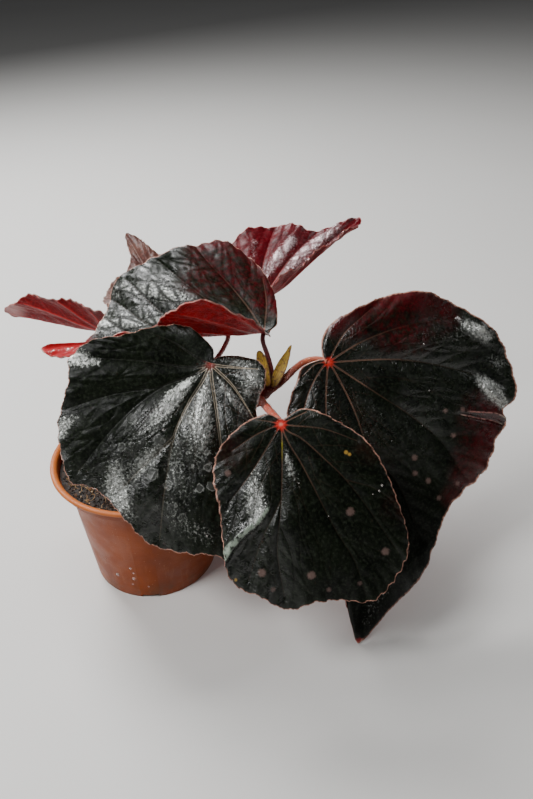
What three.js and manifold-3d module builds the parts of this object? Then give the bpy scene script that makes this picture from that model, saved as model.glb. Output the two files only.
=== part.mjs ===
// Potted black bat begonia: two leaning canes with seven broad, lopsided leaves in a plastic nursery pot.
// Millimetres, +Z up. The origin is the middle of the pot's underside, on the surface that it stands on.
import * as THREE from 'three';
import { mergeVertices } from 'three/addons/utils/BufferGeometryUtils.js';
import Module from 'manifold-3d';

const wasm = await Module();
wasm.setup();

// Pot
const POT_HEIGHT = 92;
const RIM_RADIUS = 60;
const COLLAR_HEIGHT = 10;
const COLLAR_RADIUS = 57;
const BODY_TOP_RADIUS = 50.6;
const BASE_RADIUS = 42.5;
const WALL = 1.4;
const POT_SIDES = 48;
const LIP_HEIGHT = 2.6;
const LIP_ROUND = 0.8;
const COLLAR_ROUND = 0.6;
const COLLAR_FLARE = 1;
const SHOULDER_RISE = 1.4;
const THROAT_RISE = 2.6;
const FOOT_HEIGHT = 2.4;
const FLOOR = 1.6;
const FOOT_WIDTH = 4;
const FOOT_ROUND = 0.7;
const CENTRE_FOOT_RADIUS = 12;
const NOTCH_WIDTH = 12;
const NOTCH_COUNT = 4;
const DRAIN_RADIUS = 4;
const DRAIN_RING = 25;
const DRAIN_COUNT = 6;

// Soil
const SOIL_LEVEL = 85.5;
const FLAT = 0.001;
const SOIL_MOUND = 2.5;
const SOIL_LUMP = 0.55;
const LUMP_WAVES = [5.1, 4.3, 7.7];
const SOIL_RINGS = [0.86, 0.7, 0.53, 0.36, 0.18, 0];

// Gap between pieces that meet
const GAP = 0.3;

// Canes and leaf stalks
const CANE_RADIUS = 4.2;
const CANE_TIP_RADIUS = 3.6;
const CANE_END_SHRINK = 0.75;
const CANE_STEPS = 34;
const NODE_SHARES = [0.33, 0.52, 0.71, 0.93];
const NODE_SWELL = 0.22;
const NODE_SHARPNESS = 36;
const STALK_STEP = 4;
const TUBE_SIDES = 8;

// Blades: each is rings of points about its junction, at these shares of the way to its edge
const BLADE = 0.8;
const TOOTH = 1.1;
const TOOTHED_FROM = [10, 30];
const FOLD_RADIUS = 8;
const DOME_REACH = 100;
const EDGE_WAVE_POWER = 4;
const RING_SHARES = [0.14, 0.32, 0.54, 0.77, 1];
const RING_STRIDES = [8, 4, 2, 2, 1];
const JUNCTION_CUT = 8;

// Finishes
const terracotta = finish('#a8522c', 0.45);
const soilBrown = finish('#2c2019', 0.95);
const caneRed = finish('#6b3527', 0.55);
const stalkRed = finish('#9c3a28', 0.5);
const blackLeaf = finish('#12110f', 0.3);
const maroonLeaf = finish('#3a0f12', 0.3);
const olive = finish('#8a7a2c', 0.6);

function finish(color, roughness) {
  return new THREE.MeshStandardMaterial({ color, roughness, metalness: 0 });
}

function vec(point) {
  return new THREE.Vector3(...point);
}

// Solids for the boolean cuts
function toSolid(geometry) {
  const bare = geometry.clone();
  bare.deleteAttribute('normal');
  bare.deleteAttribute('uv');
  const merged = mergeVertices(bare, 1e-4);
  return new wasm.Manifold(new wasm.Mesh({
    numProp: 3,
    vertProperties: new Float32Array(merged.attributes.position.array),
    triVerts: new Uint32Array(merged.index.array),
  }));
}

function toGeometry(solid) {
  const mesh = solid.getMesh();
  const geometry = new THREE.BufferGeometry();
  geometry.setAttribute('position', new THREE.BufferAttribute(mesh.vertProperties, 3));
  geometry.setIndex(new THREE.BufferAttribute(mesh.triVerts, 1));
  return geometry;
}

// Cuts a solid clear of others and drops any loose scrap
function cutClear(solid, cutters) {
  const cut = cutters.reduce((rest, cutter) => rest.subtract(cutter), solid);
  return cut.decompose().sort((a, b) => b.volume() - a.volume())[0];
}

function named(name, geometry, material) {
  const mesh = new THREE.Mesh(geometry, material);
  mesh.name = name;
  return mesh;
}

function disc(radius, height, x, y, z, sides = 24) {
  const geometry = new THREE.CylinderGeometry(radius, radius, height, sides);
  geometry.rotateX(Math.PI / 2);
  geometry.translate(x, y, z);
  return geometry;
}

// A round tube along a curve; its radius is a function of the share of the way along
function taperedTube(curve, radiusAt, steps) {
  const section = new THREE.Shape();
  section.absarc(0, 0, 1, 0, 2 * Math.PI, false);
  const tube = new THREE.ExtrudeGeometry(section, {
    steps, curveSegments: TUBE_SIDES / 2, extrudePath: curve,
  });
  const centres = curve.getSpacedPoints(steps);
  const place = tube.attributes.position;
  const point = new THREE.Vector3();
  for (let i = 0; i < place.count; i += 1) {
    point.fromBufferAttribute(place, i);
    const distances = centres.map((centre) => centre.distanceTo(point));
    const nearest = distances.indexOf(Math.min(...distances));
    point.sub(centres[nearest]).multiplyScalar(radiusAt(nearest / steps)).add(centres[nearest]);
    place.setXYZ(i, point.x, point.y, point.z);
  }
  return tube;
}

function routeOf(points) {
  return new THREE.CatmullRomCurve3(points, false, 'centripetal');
}

// Pot: a turned shell with drain holes through its floor and notches through its foot
function potGeometry() {
  const collarBottom = POT_HEIGHT - COLLAR_HEIGHT;
  const lipBottom = POT_HEIGHT - LIP_HEIGHT;
  const floorTop = FOOT_HEIGHT + FLOOR;
  const profile = [
    [0, 0], [CENTRE_FOOT_RADIUS, 0], [CENTRE_FOOT_RADIUS + 1, FOOT_HEIGHT],
    [BASE_RADIUS - FOOT_WIDTH - 1, FOOT_HEIGHT], [BASE_RADIUS - FOOT_WIDTH, 0],
    [BASE_RADIUS - FOOT_ROUND, 0], [BASE_RADIUS, FOOT_ROUND],
    [BODY_TOP_RADIUS, collarBottom - COLLAR_ROUND], [BODY_TOP_RADIUS + COLLAR_ROUND, collarBottom],
    [COLLAR_RADIUS - COLLAR_FLARE - COLLAR_ROUND, collarBottom],
    [COLLAR_RADIUS - COLLAR_FLARE, collarBottom + SHOULDER_RISE],
    [COLLAR_RADIUS, lipBottom], [RIM_RADIUS - LIP_ROUND, lipBottom], [RIM_RADIUS, lipBottom + LIP_ROUND],
    [RIM_RADIUS, POT_HEIGHT - LIP_ROUND], [RIM_RADIUS - LIP_ROUND, POT_HEIGHT],
    [COLLAR_RADIUS, POT_HEIGHT], [COLLAR_RADIUS - WALL, POT_HEIGHT - LIP_ROUND],
    [COLLAR_RADIUS - COLLAR_FLARE - WALL, collarBottom + THROAT_RISE],
    [BODY_TOP_RADIUS - WALL, collarBottom + SHOULDER_RISE],
    [BASE_RADIUS - WALL, floorTop], [0, floorTop],
  ];
  const turned = new THREE.LatheGeometry(profile.map(([r, z]) => new THREE.Vector2(r, z)), POT_SIDES);
  turned.rotateX(Math.PI / 2);
  let pot = toSolid(turned);
  for (let i = 0; i < DRAIN_COUNT; i += 1) {
    const angle = (2 * Math.PI * (i + 0.5)) / DRAIN_COUNT;
    const [x, y] = [DRAIN_RING * Math.cos(angle), DRAIN_RING * Math.sin(angle)];
    pot = pot.subtract(toSolid(disc(DRAIN_RADIUS, 4 * FOOT_HEIGHT, x, y, FOOT_HEIGHT)));
  }
  for (let i = 0; i < NOTCH_COUNT; i += 1) {
    const notch = new THREE.BoxGeometry(3 * FOOT_WIDTH, NOTCH_WIDTH, 2 * FOOT_HEIGHT);
    notch.translate(BASE_RADIUS, 0, 0);
    notch.rotateZ((2 * Math.PI * i) / NOTCH_COUNT - Math.PI / 2);
    pot = pot.subtract(toSolid(notch));
  }
  return toGeometry(pot);
}

// Soil: fills the pot to just under the lip, with a low mound and lumps
function soilHeight(x, y) {
  const share = Math.hypot(x, y) / COLLAR_RADIUS;
  const [wide, deep, slanted] = LUMP_WAVES;
  const lumps = Math.sin(x / wide + 1) * Math.cos(y / deep) + Math.sin((x + 2 * y) / slanted);
  return SOIL_LEVEL + SOIL_MOUND * (1 - share * share) + SOIL_LUMP * lumps * (1 - share ** 6);
}

function soilGeometry(holes) {
  const floor = FOOT_HEIGHT + FLOOR + GAP;
  const collarBottom = POT_HEIGHT - COLLAR_HEIGHT;
  const top = COLLAR_RADIUS - COLLAR_FLARE - WALL - GAP;
  const profile = [
    [0, floor], [BASE_RADIUS - WALL - GAP, floor],
    [BODY_TOP_RADIUS - WALL - GAP, collarBottom + SHOULDER_RISE + GAP],
    [top - GAP, collarBottom + THROAT_RISE + GAP], [top, SOIL_LEVEL],
  ];
  for (const share of SOIL_RINGS) {
    profile.push([top * share, SOIL_LEVEL + FLAT]);
  }
  const body = new THREE.LatheGeometry(profile.map(([r, z]) => new THREE.Vector2(r, z)), POT_SIDES);
  body.rotateX(Math.PI / 2);
  const place = body.attributes.position;
  for (let i = 0; i < place.count; i += 1) {
    if (place.getZ(i) > SOIL_LEVEL) {
      place.setZ(i, soilHeight(place.getX(i), place.getY(i)));
    }
  }
  let soil = toSolid(body);
  for (const hole of holes) {
    soil = soil.subtract(toSolid(hole));
  }
  return toGeometry(soil);
}

// Canes: swollen at each node, standing in a hole in the soil
const CANES = {
  cane_front: [[12, -5, 64], [12, -5, 72], [18, -6, 90], [40, -9, 108], [63, -10, 127], [79, -8.5, 138.5],
    [83.5, -7.5, 143]],
  cane_back: [[2, 9, 64], [2, 9, 72], [4, 13, 90], [10, 25, 112], [22, 38, 134], [35, 47, 150],
    [39, 49, 155]],
};

function swellAt(share, node) {
  return Math.exp(-(((share - node) * NODE_SHARPNESS) ** 2));
}

// A cane, or with a margin all round, the cutter of its hole and of the stalks that leave it
function caneTube(name, margin) {
  const points = CANES[name].map((point) => vec(point));
  const end = points[points.length - 1];
  end.add(end.clone().sub(points[points.length - 2]).setLength(margin));
  return taperedTube(routeOf(points), (share) => {
    const swell = NODE_SHARES.reduce((sum, node) => sum + swellAt(share, node), 0);
    const radius = THREE.MathUtils.lerp(CANE_RADIUS, CANE_TIP_RADIUS, share);
    return radius * (1 + NODE_SWELL * swell) * (share === 1 ? CANE_END_SHRINK : 1) + margin;
  }, CANE_STEPS);
}

function holesFor(name) {
  const [x, y, z] = CANES[name][0];
  return [caneTube(name, GAP), disc(CANE_RADIUS + GAP, 2 * GAP, x, y, z, TUBE_SIDES)];
}

// Leaves. Each blade starts at its junction with the stalk and points to its tip. The outline is polar about
// the junction: degrees from the midrib towards the blade's left, and millimetres.
const LEAVES = [
  {
    name: 'front_left', material: blackLeaf, rim: 96,
    junction: [51.6, -19.7, 170.9], tip: [70.6, -95.2, 70.6], facing: [0.01, -0.82, 0.57],
    dome: 6, wave: [1.5, 9],
    outline: [[139, 4.5], [160, 9.5], [-179, 15], [-163, 24], [-150, 31], [-132, 42], [-119, 54], [-112, 72],
      [-103, 83], [-95, 83], [-85, 91], [-79, 97], [-70, 102], [-61, 107], [-56, 101], [-49, 99], [-38, 104],
      [-29, 111], [-18, 111], [-10, 111], [-4, 118], [0, 128], [4, 110], [10, 84], [20, 58], [34, 38],
      [48, 34], [65, 33], [82, 29], [98, 17], [120, 8]],
    cane: 'cane_back', stalk: [1.7, 1.3],
    route: [[37, 48, 152.5], [39, 48, 156], [45, 48, 159.5], [55, 42, 162.5], [60.5, 26, 164.5],
      [59, 8, 167], [55, -10, 169.5]],
  },
  {
    name: 'front', material: blackLeaf, rim: 96,
    junction: [91, -59, 155], tip: [135.5, -112, 67], facing: [0.05, -0.82, 0.57],
    dome: 3, wave: [1.2, 11],
    outline: [[118, 4], [150, 3.2], [-175, 4.6], [-154, 9.5], [-132, 14], [-117, 20], [-101, 30], [-90, 39],
      [-76, 48], [-61, 58], [-52, 72], [-45, 88], [-39, 95], [-32, 97], [-26, 103], [-21, 105], [-15, 102],
      [-7, 105], [0, 112], [5, 113], [11, 110], [18, 104], [24, 95], [30, 81], [41, 64], [54, 48], [68, 31],
      [85, 21], [101, 14]],
    cane: 'cane_front', stalk: [2.3, 1.7],
    route: [[79, -8.5, 138.5], [81, -17.5, 141.5], [85.5, -37, 148.5], [89, -52.5, 154]],
  },
  {
    name: 'right', material: blackLeaf, rim: 96,
    junction: [122, -4.5, 160.5], tip: [129.5, -88.5, 3], facing: [0.1, -0.82, 0.57],
    dome: 1.5, wave: [1.8, 12],
    outline: [[-124, 3.5], [-104, 7], [-84, 16], [-64, 22], [-52, 30], [-42, 41], [-31, 58], [-20, 80],
      [-11, 107], [-3.4, 131], [0.2, 148], [1, 160], [1.5, 171], [2, 179], [3.2, 179], [8, 170], [15, 157],
      [22, 147], [27, 136], [35, 122], [49, 123], [58, 120], [65, 118.5], [70, 116], [76, 122], [86, 115.5],
      [95, 107], [104, 94], [113, 82], [122, 72], [132, 56], [144, 40], [158, 29], [173, 22.5], [-168, 13.5],
      [-147, 6]],
    cane: 'cane_front', stalk: [2.7, 1.6],
    route: [[82, -7.8, 141], [88.5, -4.5, 143.5], [95, -2.5, 148], [101.5, 0, 153.5], [108, 1, 158],
      [115.5, -0.5, 160.5]],
  },
  {
    name: 'top', material: blackLeaf, rim: 96,
    junction: [83.5, 14, 173], tip: [-64, 36, 155], facing: [0, 0, 1],
    fold: { left: [50, -5], right: [28, 15], between: [85, 125] }, wave: [1.5, 12],
    outline: [[-178, 3.5], [-140, 10.5], [-103, 26], [-93, 37], [-84, 50], [-77, 62], [-68.5, 77], [-61, 85],
      [-51.5, 94], [-44, 98], [-39, 105], [-34, 110], [-30, 117], [-25, 120], [-20, 117], [-14, 113],
      [-7, 113.5], [-4, 116], [-1.5, 125], [-1, 139], [0, 149], [3, 141], [6, 129], [9, 115], [11, 102],
      [13, 90], [17, 78], [28, 68], [41, 66], [51, 69], [62, 69], [71, 63], [77, 54], [82, 42], [88, 27],
      [98, 17], [131, 7.5]],
    cane: 'cane_front', stalk: [1.6, 1.4],
    route: [[83, -7.5, 142.5], [87, -3.5, 148], [87.4, -1, 152.5], [85.5, 3, 161], [82.5, 9.5, 169.5]],
  },
  {
    name: 'back_right', material: maroonLeaf, rim: 72,
    junction: [81, 68, 165.4], tip: [156, 142, 194.3], facing: [0, 0, 1],
    fold: { left: [12, 12], right: [56, 56] }, wave: [1.5, 9],
    outline: [[-172, 4], [-140, 13], [-110, 28], [-85, 33], [-60, 36], [-38, 43], [-22, 58], [-10, 80],
      [-3, 99], [0, 111], [2.5, 103], [5.5, 93], [9.5, 86], [14.5, 80], [25, 80.5], [36, 78], [46, 76],
      [53, 71], [60, 65], [82, 55], [100, 46], [120, 32], [145, 15]],
    cane: 'cane_back', stalk: [1.5, 1.3],
    route: [[38, 48.7, 153.5], [45, 53, 156.5], [55, 58, 158.5], [70, 64, 159], [79.5, 67, 161.5]],
  },
  {
    name: 'far_left', material: maroonLeaf, rim: 72,
    junction: [-24.5, 72, 143], tip: [-104, 102, 149], facing: [0, 0.5, 0.86],
    fold: { left: [36, 36], right: [20, 20] }, wave: [2, 8],
    outline: [[-172, 4], [-140, 14], [-110, 27], [-85, 34], [-60, 37], [-38, 44], [-22, 55], [-9, 69],
      [-3, 74], [0, 80], [2.3, 83], [9, 75], [22, 65], [36, 55], [46, 47], [57, 40], [70, 37], [80, 36.5],
      [95, 30], [110, 20], [130, 12], [150, 6]],
    cane: 'cane_back', stalk: [1.5, 1.3],
    route: [[33, 45.6, 147.5], [24, 49, 149.5], [10, 56, 149], [-6, 64, 145], [-18, 70, 141.5]],
  },
  {
    name: 'back', material: maroonLeaf, rim: 72,
    junction: [10, 98, 161], tip: [-22, 169, 177], facing: [-0.2, -0.3, 1],
    fold: { left: [15, 15], right: [15, 15] }, wave: [1.4, 9],
    outline: [[-172, 4], [-140, 15], [-112, 26], [-88, 32], [-62, 34], [-40, 34], [-22, 38], [-11, 52],
      [-5, 70], [0, 79], [2, 68], [7, 48], [24, 37], [44, 36], [62, 38], [82, 40], [105, 36], [128, 26],
      [152, 11]],
    cane: 'cane_back', stalk: [1.5, 1.3],
    route: [[35.5, 47.3, 150.5], [33, 57, 154.5], [27, 70, 159.5], [17, 87, 160], [11.5, 95, 158]],
  },
];

// The blade's own axes: along the midrib, to its left, and out of its upper face
function bladeAxes(leaf) {
  const along = vec(leaf.tip).sub(vec(leaf.junction)).normalize();
  const facing = vec(leaf.facing);
  const up = facing.sub(along.clone().multiplyScalar(facing.dot(along))).normalize();
  const left = up.clone().cross(along);
  return { along, left, up };
}

// Turns all that lies beyond an axis through a smooth bend; positive degrees raise it
function bend(point, from, across, degrees, radius) {
  const past = (point.x - from[0]) * across[0] + (point.y - from[1]) * across[1];
  if (past <= 0 || degrees === 0) {
    return;
  }
  const sign = Math.sign(degrees);
  const full = Math.abs(degrees) * THREE.MathUtils.DEG2RAD;
  const height = point.z * sign;
  const angle = Math.min(past / radius, full);
  const beyond = Math.max(0, past - radius * full);
  const reach = (radius - height) * Math.sin(angle) + beyond * Math.cos(angle);
  const rise = radius - (radius - height) * Math.cos(angle) + beyond * Math.sin(angle);
  point.x += (reach - past) * across[0];
  point.y += (reach - past) * across[1];
  point.z = rise * sign;
}

function outlineOf(leaf, grow) {
  const corners = leaf.outline.map(([degrees, radius]) => {
    const angle = degrees * THREE.MathUtils.DEG2RAD;
    return new THREE.Vector3(radius * Math.cos(angle), radius * Math.sin(angle), 0);
  });
  const smooth = new THREE.CatmullRomCurve3(corners, true, 'catmullrom', 0.5);
  const points = smooth.getSpacedPoints(leaf.rim).slice(0, leaf.rim);
  return points.map((point, i) => {
    const radius = point.length();
    const tooth = (i % 2 ? TOOTH : 0) * THREE.MathUtils.smoothstep(radius, ...TOOTHED_FROM);
    return point.multiplyScalar((radius + tooth + grow) / radius);
  });
}

// A point of the blade: waved towards its edge, domed, folded up along the midrib and curled at the tip
function surfacePoint(leaf, x, y, share, turn, offset) {
  const { dome = 0, wave = [0, 0], fold = {}, curl = [0, 0, 1] } = leaf;
  const { left = [0, 0], right = [0, 0], between = [0, 1] } = fold;
  const [waveHeight, waves] = wave;
  const [curlDegrees, curlFrom, curlRadius] = curl;
  const ripple = waveHeight * share ** EDGE_WAVE_POWER * Math.sin(2 * Math.PI * waves * turn);
  const droop = dome * ((x * x + y * y) / (DOME_REACH * DOME_REACH));
  const point = new THREE.Vector3(x, y, ripple - droop + offset);
  const towardsTip = THREE.MathUtils.smoothstep(x, ...between);
  bend(point, [0, 0], [0, 1], THREE.MathUtils.lerp(...left, towardsTip), FOLD_RADIUS);
  bend(point, [0, 0], [0, -1], THREE.MathUtils.lerp(...right, towardsTip), FOLD_RADIUS);
  bend(point, [curlFrom, 0], [1, 0], curlDegrees, curlRadius);
  return point;
}

// Rings of points about the junction, denser towards the edge, split alike on both faces; a blade that is
// grown by a margin all round is the cutter that keeps its stalk clear
function bladeGeometry(leaf, grow = 0) {
  const edge = outlineOf(leaf, grow);
  const rings = RING_SHARES.map((share, k) => {
    const ring = [];
    for (let i = 0; i < leaf.rim; i += RING_STRIDES[k]) {
      ring.push({ x: edge[i].x * share, y: edge[i].y * share, share, turn: i / leaf.rim });
    }
    return ring;
  });
  const flat = [{ x: 0, y: 0, share: 0, turn: 0 }, ...rings.flat()];
  const starts = rings.map((ring, k) => 1 + rings.slice(0, k).reduce((sum, r) => sum + r.length, 0));
  const faces = [];
  rings[0].forEach((_, i) => faces.push([0, 1 + i, 1 + ((i + 1) % rings[0].length)]));
  for (let k = 1; k < rings.length; k += 1) {
    const [inner, outer] = [rings[k - 1].length, rings[k].length];
    for (let i = 0; i < inner; i += 1) {
      const [a, b] = [starts[k - 1] + i, starts[k - 1] + ((i + 1) % inner)];
      const step = outer / inner;
      const [p, q, r] = [0, 1, 2].map((n) => starts[k] + ((i * step + n) % outer));
      faces.push([a, p, q]);
      faces.push([a, q, b]);
      if (step === 2) {
        faces.push([b, q, r]);
      }
    }
  }
  const vertices = [];
  for (const offset of [BLADE / 2 + grow, -BLADE / 2 - grow]) {
    for (const { x, y, share, turn } of flat) {
      vertices.push(...surfacePoint(leaf, x, y, share, turn, offset).toArray());
    }
  }
  const below = flat.length;
  const rimStart = starts[starts.length - 1];
  const triangles = faces.flatMap(([a, b, c]) => [a, b, c, below + a, below + c, below + b]);
  for (let i = 0; i < leaf.rim; i += 1) {
    const [a, b] = [rimStart + i, rimStart + ((i + 1) % leaf.rim)];
    triangles.push(a, below + a, below + b, a, below + b, b);
  }
  const geometry = new THREE.BufferGeometry();
  geometry.setAttribute('position', new THREE.Float32BufferAttribute(vertices, 3));
  geometry.setIndex(triangles);
  return geometry;
}

function bladeMatrix(leaf) {
  const { along, left, up } = bladeAxes(leaf);
  return new THREE.Matrix4().makeBasis(along, left, up).setPosition(...leaf.junction);
}

function bladeMesh(leaf) {
  const mesh = named(`blade_${leaf.name}`, bladeGeometry(leaf), leaf.material);
  mesh.applyMatrix4(bladeMatrix(leaf));
  return mesh;
}

// Leaf stalk: from its cane to the underside of its blade, cut clear of both and of the stalks beside it
const rooted = {
  cane_front: [toSolid(caneTube('cane_front', GAP))],
  cane_back: [toSolid(caneTube('cane_back', GAP))],
};

function stalkMesh(leaf) {
  const [thick, thin] = leaf.stalk;
  const route = routeOf([...leaf.route, leaf.junction].map((point) => vec(point)));
  const steps = Math.round(route.getLength() / STALK_STEP);
  const tube = (margin) => toSolid(
    taperedTube(route, (share) => THREE.MathUtils.lerp(thick, thin, share) + margin, steps));
  const above = new THREE.BoxGeometry(JUNCTION_CUT, JUNCTION_CUT, JUNCTION_CUT);
  above.translate(0, 0, JUNCTION_CUT / 2 - BLADE / 2 - GAP);
  const blade = bladeGeometry(leaf, GAP);
  const cutters = [above, blade].map((cutter) => toSolid(cutter.applyMatrix4(bladeMatrix(leaf))));
  const solid = cutClear(tube(0), [...cutters, ...rooted[leaf.cane]]);
  rooted[leaf.cane].push(tube(GAP));
  return named(`stalk_${leaf.name}`, toGeometry(solid), stalkRed);
}

// Stipules: a pair of small pointed bracts at the growing tip of the front cane
const STIPULES = [
  { name: 'stipule_left', root: [84, -6.5, 147.6], tip: [80.5, 6, 163.5], facing: [-0.6, -0.75, 0.3] },
  { name: 'stipule_right', root: [88.2, -6.8, 147.2], tip: [100.5, 7, 166.5], facing: [-0.3, -0.9, 0.3] },
];
const STIPULE_LENGTH = 26;
const STIPULE_OUTLINE = [[-160, 2], [-90, 2.2], [-35, 4.2], [-16, 9.5], [-7, 17], [0, 26], [7, 17], [16, 9.5],
  [35, 4.2], [90, 2.2], [160, 2]];

function stipuleMesh(stipule) {
  const length = vec(stipule.tip).distanceTo(vec(stipule.root));
  const mesh = bladeMesh({
    name: stipule.name, material: olive, rim: 24, junction: stipule.root, tip: stipule.tip,
    facing: stipule.facing, fold: { left: [30, 30], right: [30, 30] }, curl: [18, 3, 60],
    outline: STIPULE_OUTLINE.map(([degrees, radius]) => [degrees, (radius * length) / STIPULE_LENGTH]),
  });
  mesh.name = stipule.name;
  mesh.updateMatrix();
  const whole = toSolid(mesh.geometry.applyMatrix4(mesh.matrix));
  mesh.geometry = toGeometry(cutClear(whole, rooted.cane_front)).applyMatrix4(mesh.matrix.invert());
  return mesh;
}

const plant = new THREE.Group();
plant.add(named('pot', potGeometry(), terracotta));
plant.add(named('soil', soilGeometry(Object.keys(CANES).flatMap(holesFor)), soilBrown));
for (const name of Object.keys(CANES)) {
  plant.add(named(name, toGeometry(toSolid(caneTube(name, 0))), caneRed));
}
for (const leaf of LEAVES) {
  plant.add(stalkMesh(leaf));
  plant.add(bladeMesh(leaf));
}
for (const stipule of STIPULES) {
  plant.add(stipuleMesh(stipule));
}

export default plant;
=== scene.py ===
# Potted black bat begonia: leaves, stems, soil and pot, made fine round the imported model.
# Lengths are millimetres unless a name or a comment says metres. Each mesh is made in metres, in the
# model's own frame.
import math
import bpy
import numpy as np
from mathutils import Matrix, Vector
from mathutils.kdtree import KDTree


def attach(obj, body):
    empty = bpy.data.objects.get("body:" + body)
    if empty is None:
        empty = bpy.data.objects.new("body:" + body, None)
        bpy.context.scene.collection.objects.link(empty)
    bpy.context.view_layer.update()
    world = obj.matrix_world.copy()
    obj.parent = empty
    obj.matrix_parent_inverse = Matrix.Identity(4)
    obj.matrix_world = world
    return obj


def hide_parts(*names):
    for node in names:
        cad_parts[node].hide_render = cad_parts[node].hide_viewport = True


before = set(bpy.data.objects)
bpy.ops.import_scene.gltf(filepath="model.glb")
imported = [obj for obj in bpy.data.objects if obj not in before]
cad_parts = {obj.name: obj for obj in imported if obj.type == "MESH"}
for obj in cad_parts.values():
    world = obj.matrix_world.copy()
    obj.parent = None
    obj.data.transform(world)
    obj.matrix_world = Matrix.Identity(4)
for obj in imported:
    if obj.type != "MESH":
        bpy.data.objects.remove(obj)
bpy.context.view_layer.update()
MM = 0.001
dice = np.random.default_rng(7)

# Pot
POT_HEIGHT = 92
RIM_RADIUS = 60
COLLAR_HEIGHT = 10
COLLAR_RADIUS = 57
BODY_TOP_RADIUS = 50.6
BASE_RADIUS = 42.5
WALL = 1.4
LIP_HEIGHT = 2.6
FOOT_HEIGHT = 2.4
FLOOR = 1.6
FOOT_WIDTH = 4
CENTRE_FOOT_RADIUS = 12
NOTCH_WIDTH = 12
NOTCH_COUNT = 4
DRAIN_RADIUS = 4
DRAIN_RING = 25
DRAIN_COUNT = 6
DRAIN_SIDES = 32
POT_STEPS = 144
LIP_STEP = 15
DROP_SEGMENTS = 20
DROP_RINGS = 12
DROP_SHAPE = (1, 1.1, 0.6)
# Droplets on the pot's front: degrees round from +X, height and radius
DROPLETS = [[-117, 20.7, 1.2], [-101.4, 20.4, 1.3], [-102.6, 31, 1.0], [-104, 14, 0.7], [-100.8, 26, 0.7],
            [-125, 34, 0.5], [-90, 12, 0.6]]

# Soil
SOIL_LEVEL = 85.5
SOIL_MOUND = 2.5
SOIL_LUMP = 0.55
SOIL_ROUGHNESS = 0.35
SOIL_STEPS = 120
SOIL_RINGS = 44
SOIL_GAP = 0.3
CRUMBS = 2600
BARK_CHIPS = 170
GRANULES = 230
LUMP_ROUGHNESS = 0.22
LUMPS_FROM_WALL = 3.4
FIBRES = 360
FIBRE_RINGS = 7
FIBRE_STEP = 1.3
FIBRES_FROM_WALL = 7
FIBRE_HEIGHT = 0.35

# Stems
CANE_RADIUS = 4.2
CANE_TIP_RADIUS = 3.6
CANE_RINGS = 150
CANE_SIDES = 28
NODE_SHARES = [0.33, 0.52, 0.71, 0.93]
NODE_SWELL = 0.22
NODE_SHARPNESS = 36
CANE_END = [0.96, 0.88, 0.75]
SCAR_DEPTH = 0.28
SCAR_SHARPNESS = 260
SCAR_PAST_NODE = 0.012
STALK_SIDES = 20
# How much a stalk widens at its foot and neck, and over what share of its length
FOOT_SWELL = [0.45, 0.07]
NECK_SWELL = [0.25, 0.035]
HAIRS_PER_MM = 5
HAIR_LENGTH = 1.3
HAIR_RADIUS = 0.05

# Blades
BLADE = 0.7
STIPULE_THICKNESS = 0.6
TOOTH = 1.1
SMALL_TOOTH = 0.75
SMALL_TOOTH_SPACING = 3.1
TOOTHED_FROM = [10, 30]
FOLD_RADIUS = 8
DOME_REACH = 100
EDGE_WAVE_POWER = 4
MARGIN_FRILL = 0.55
FRILLS = 41
PLEAT = 3.0
PLEAT_WIDTH = 7
QUILT = 0.75
QUILT_WIDTH = 2.4
LUMP = 0.16
MARGIN_DROOP = 1.8
LEAF_BUMP = 0.14
LINE_STEP = 0.15
VEIN_WIDTHS = [0.45, 0.12]
FORKS_FROM = 25
SIDE_VEIN_WIDTHS = [0.16, 0.05]
SIDE_VEIN_SPACING = [6.5, 5.5]
SIDE_VEIN_START = 9.0
SIDE_VEIN_STEP = 2.2
SIDE_VEIN_STEPS = 26
SIDE_VEIN_ANGLE = 0.9
SIDE_VEIN_CURVE = 0.035
SIDE_VEIN_END = 0.975
SIDE_VEIN_CLEARANCE = 2.4
VEIN_POINTS = 40
STREAK_POINTS = 80
LINE_DENSITY = 12
FAR_OFF = 99.0
# Points of the edge, broad teeth, and rings between the junction and the edge
BLADE_SIZES = {"black": [560, 96, 80], "maroon": [400, 72, 54], "stipule": [160, 24, 16]}
STIPULE_SHAPE = {"fold": {"left": [24, 24], "right": [24, 24]}, "curl": [18, 3, 60], "tooth_spacing": 2.2}
# A ring at less than this share of the way out has a point for every so many of the edge's
RING_STRIDES = [[0.09, 8], [0.2, 4], [0.42, 2]]
UV_SIZE = 500
UV_SHIFT = [70, 135]

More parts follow.
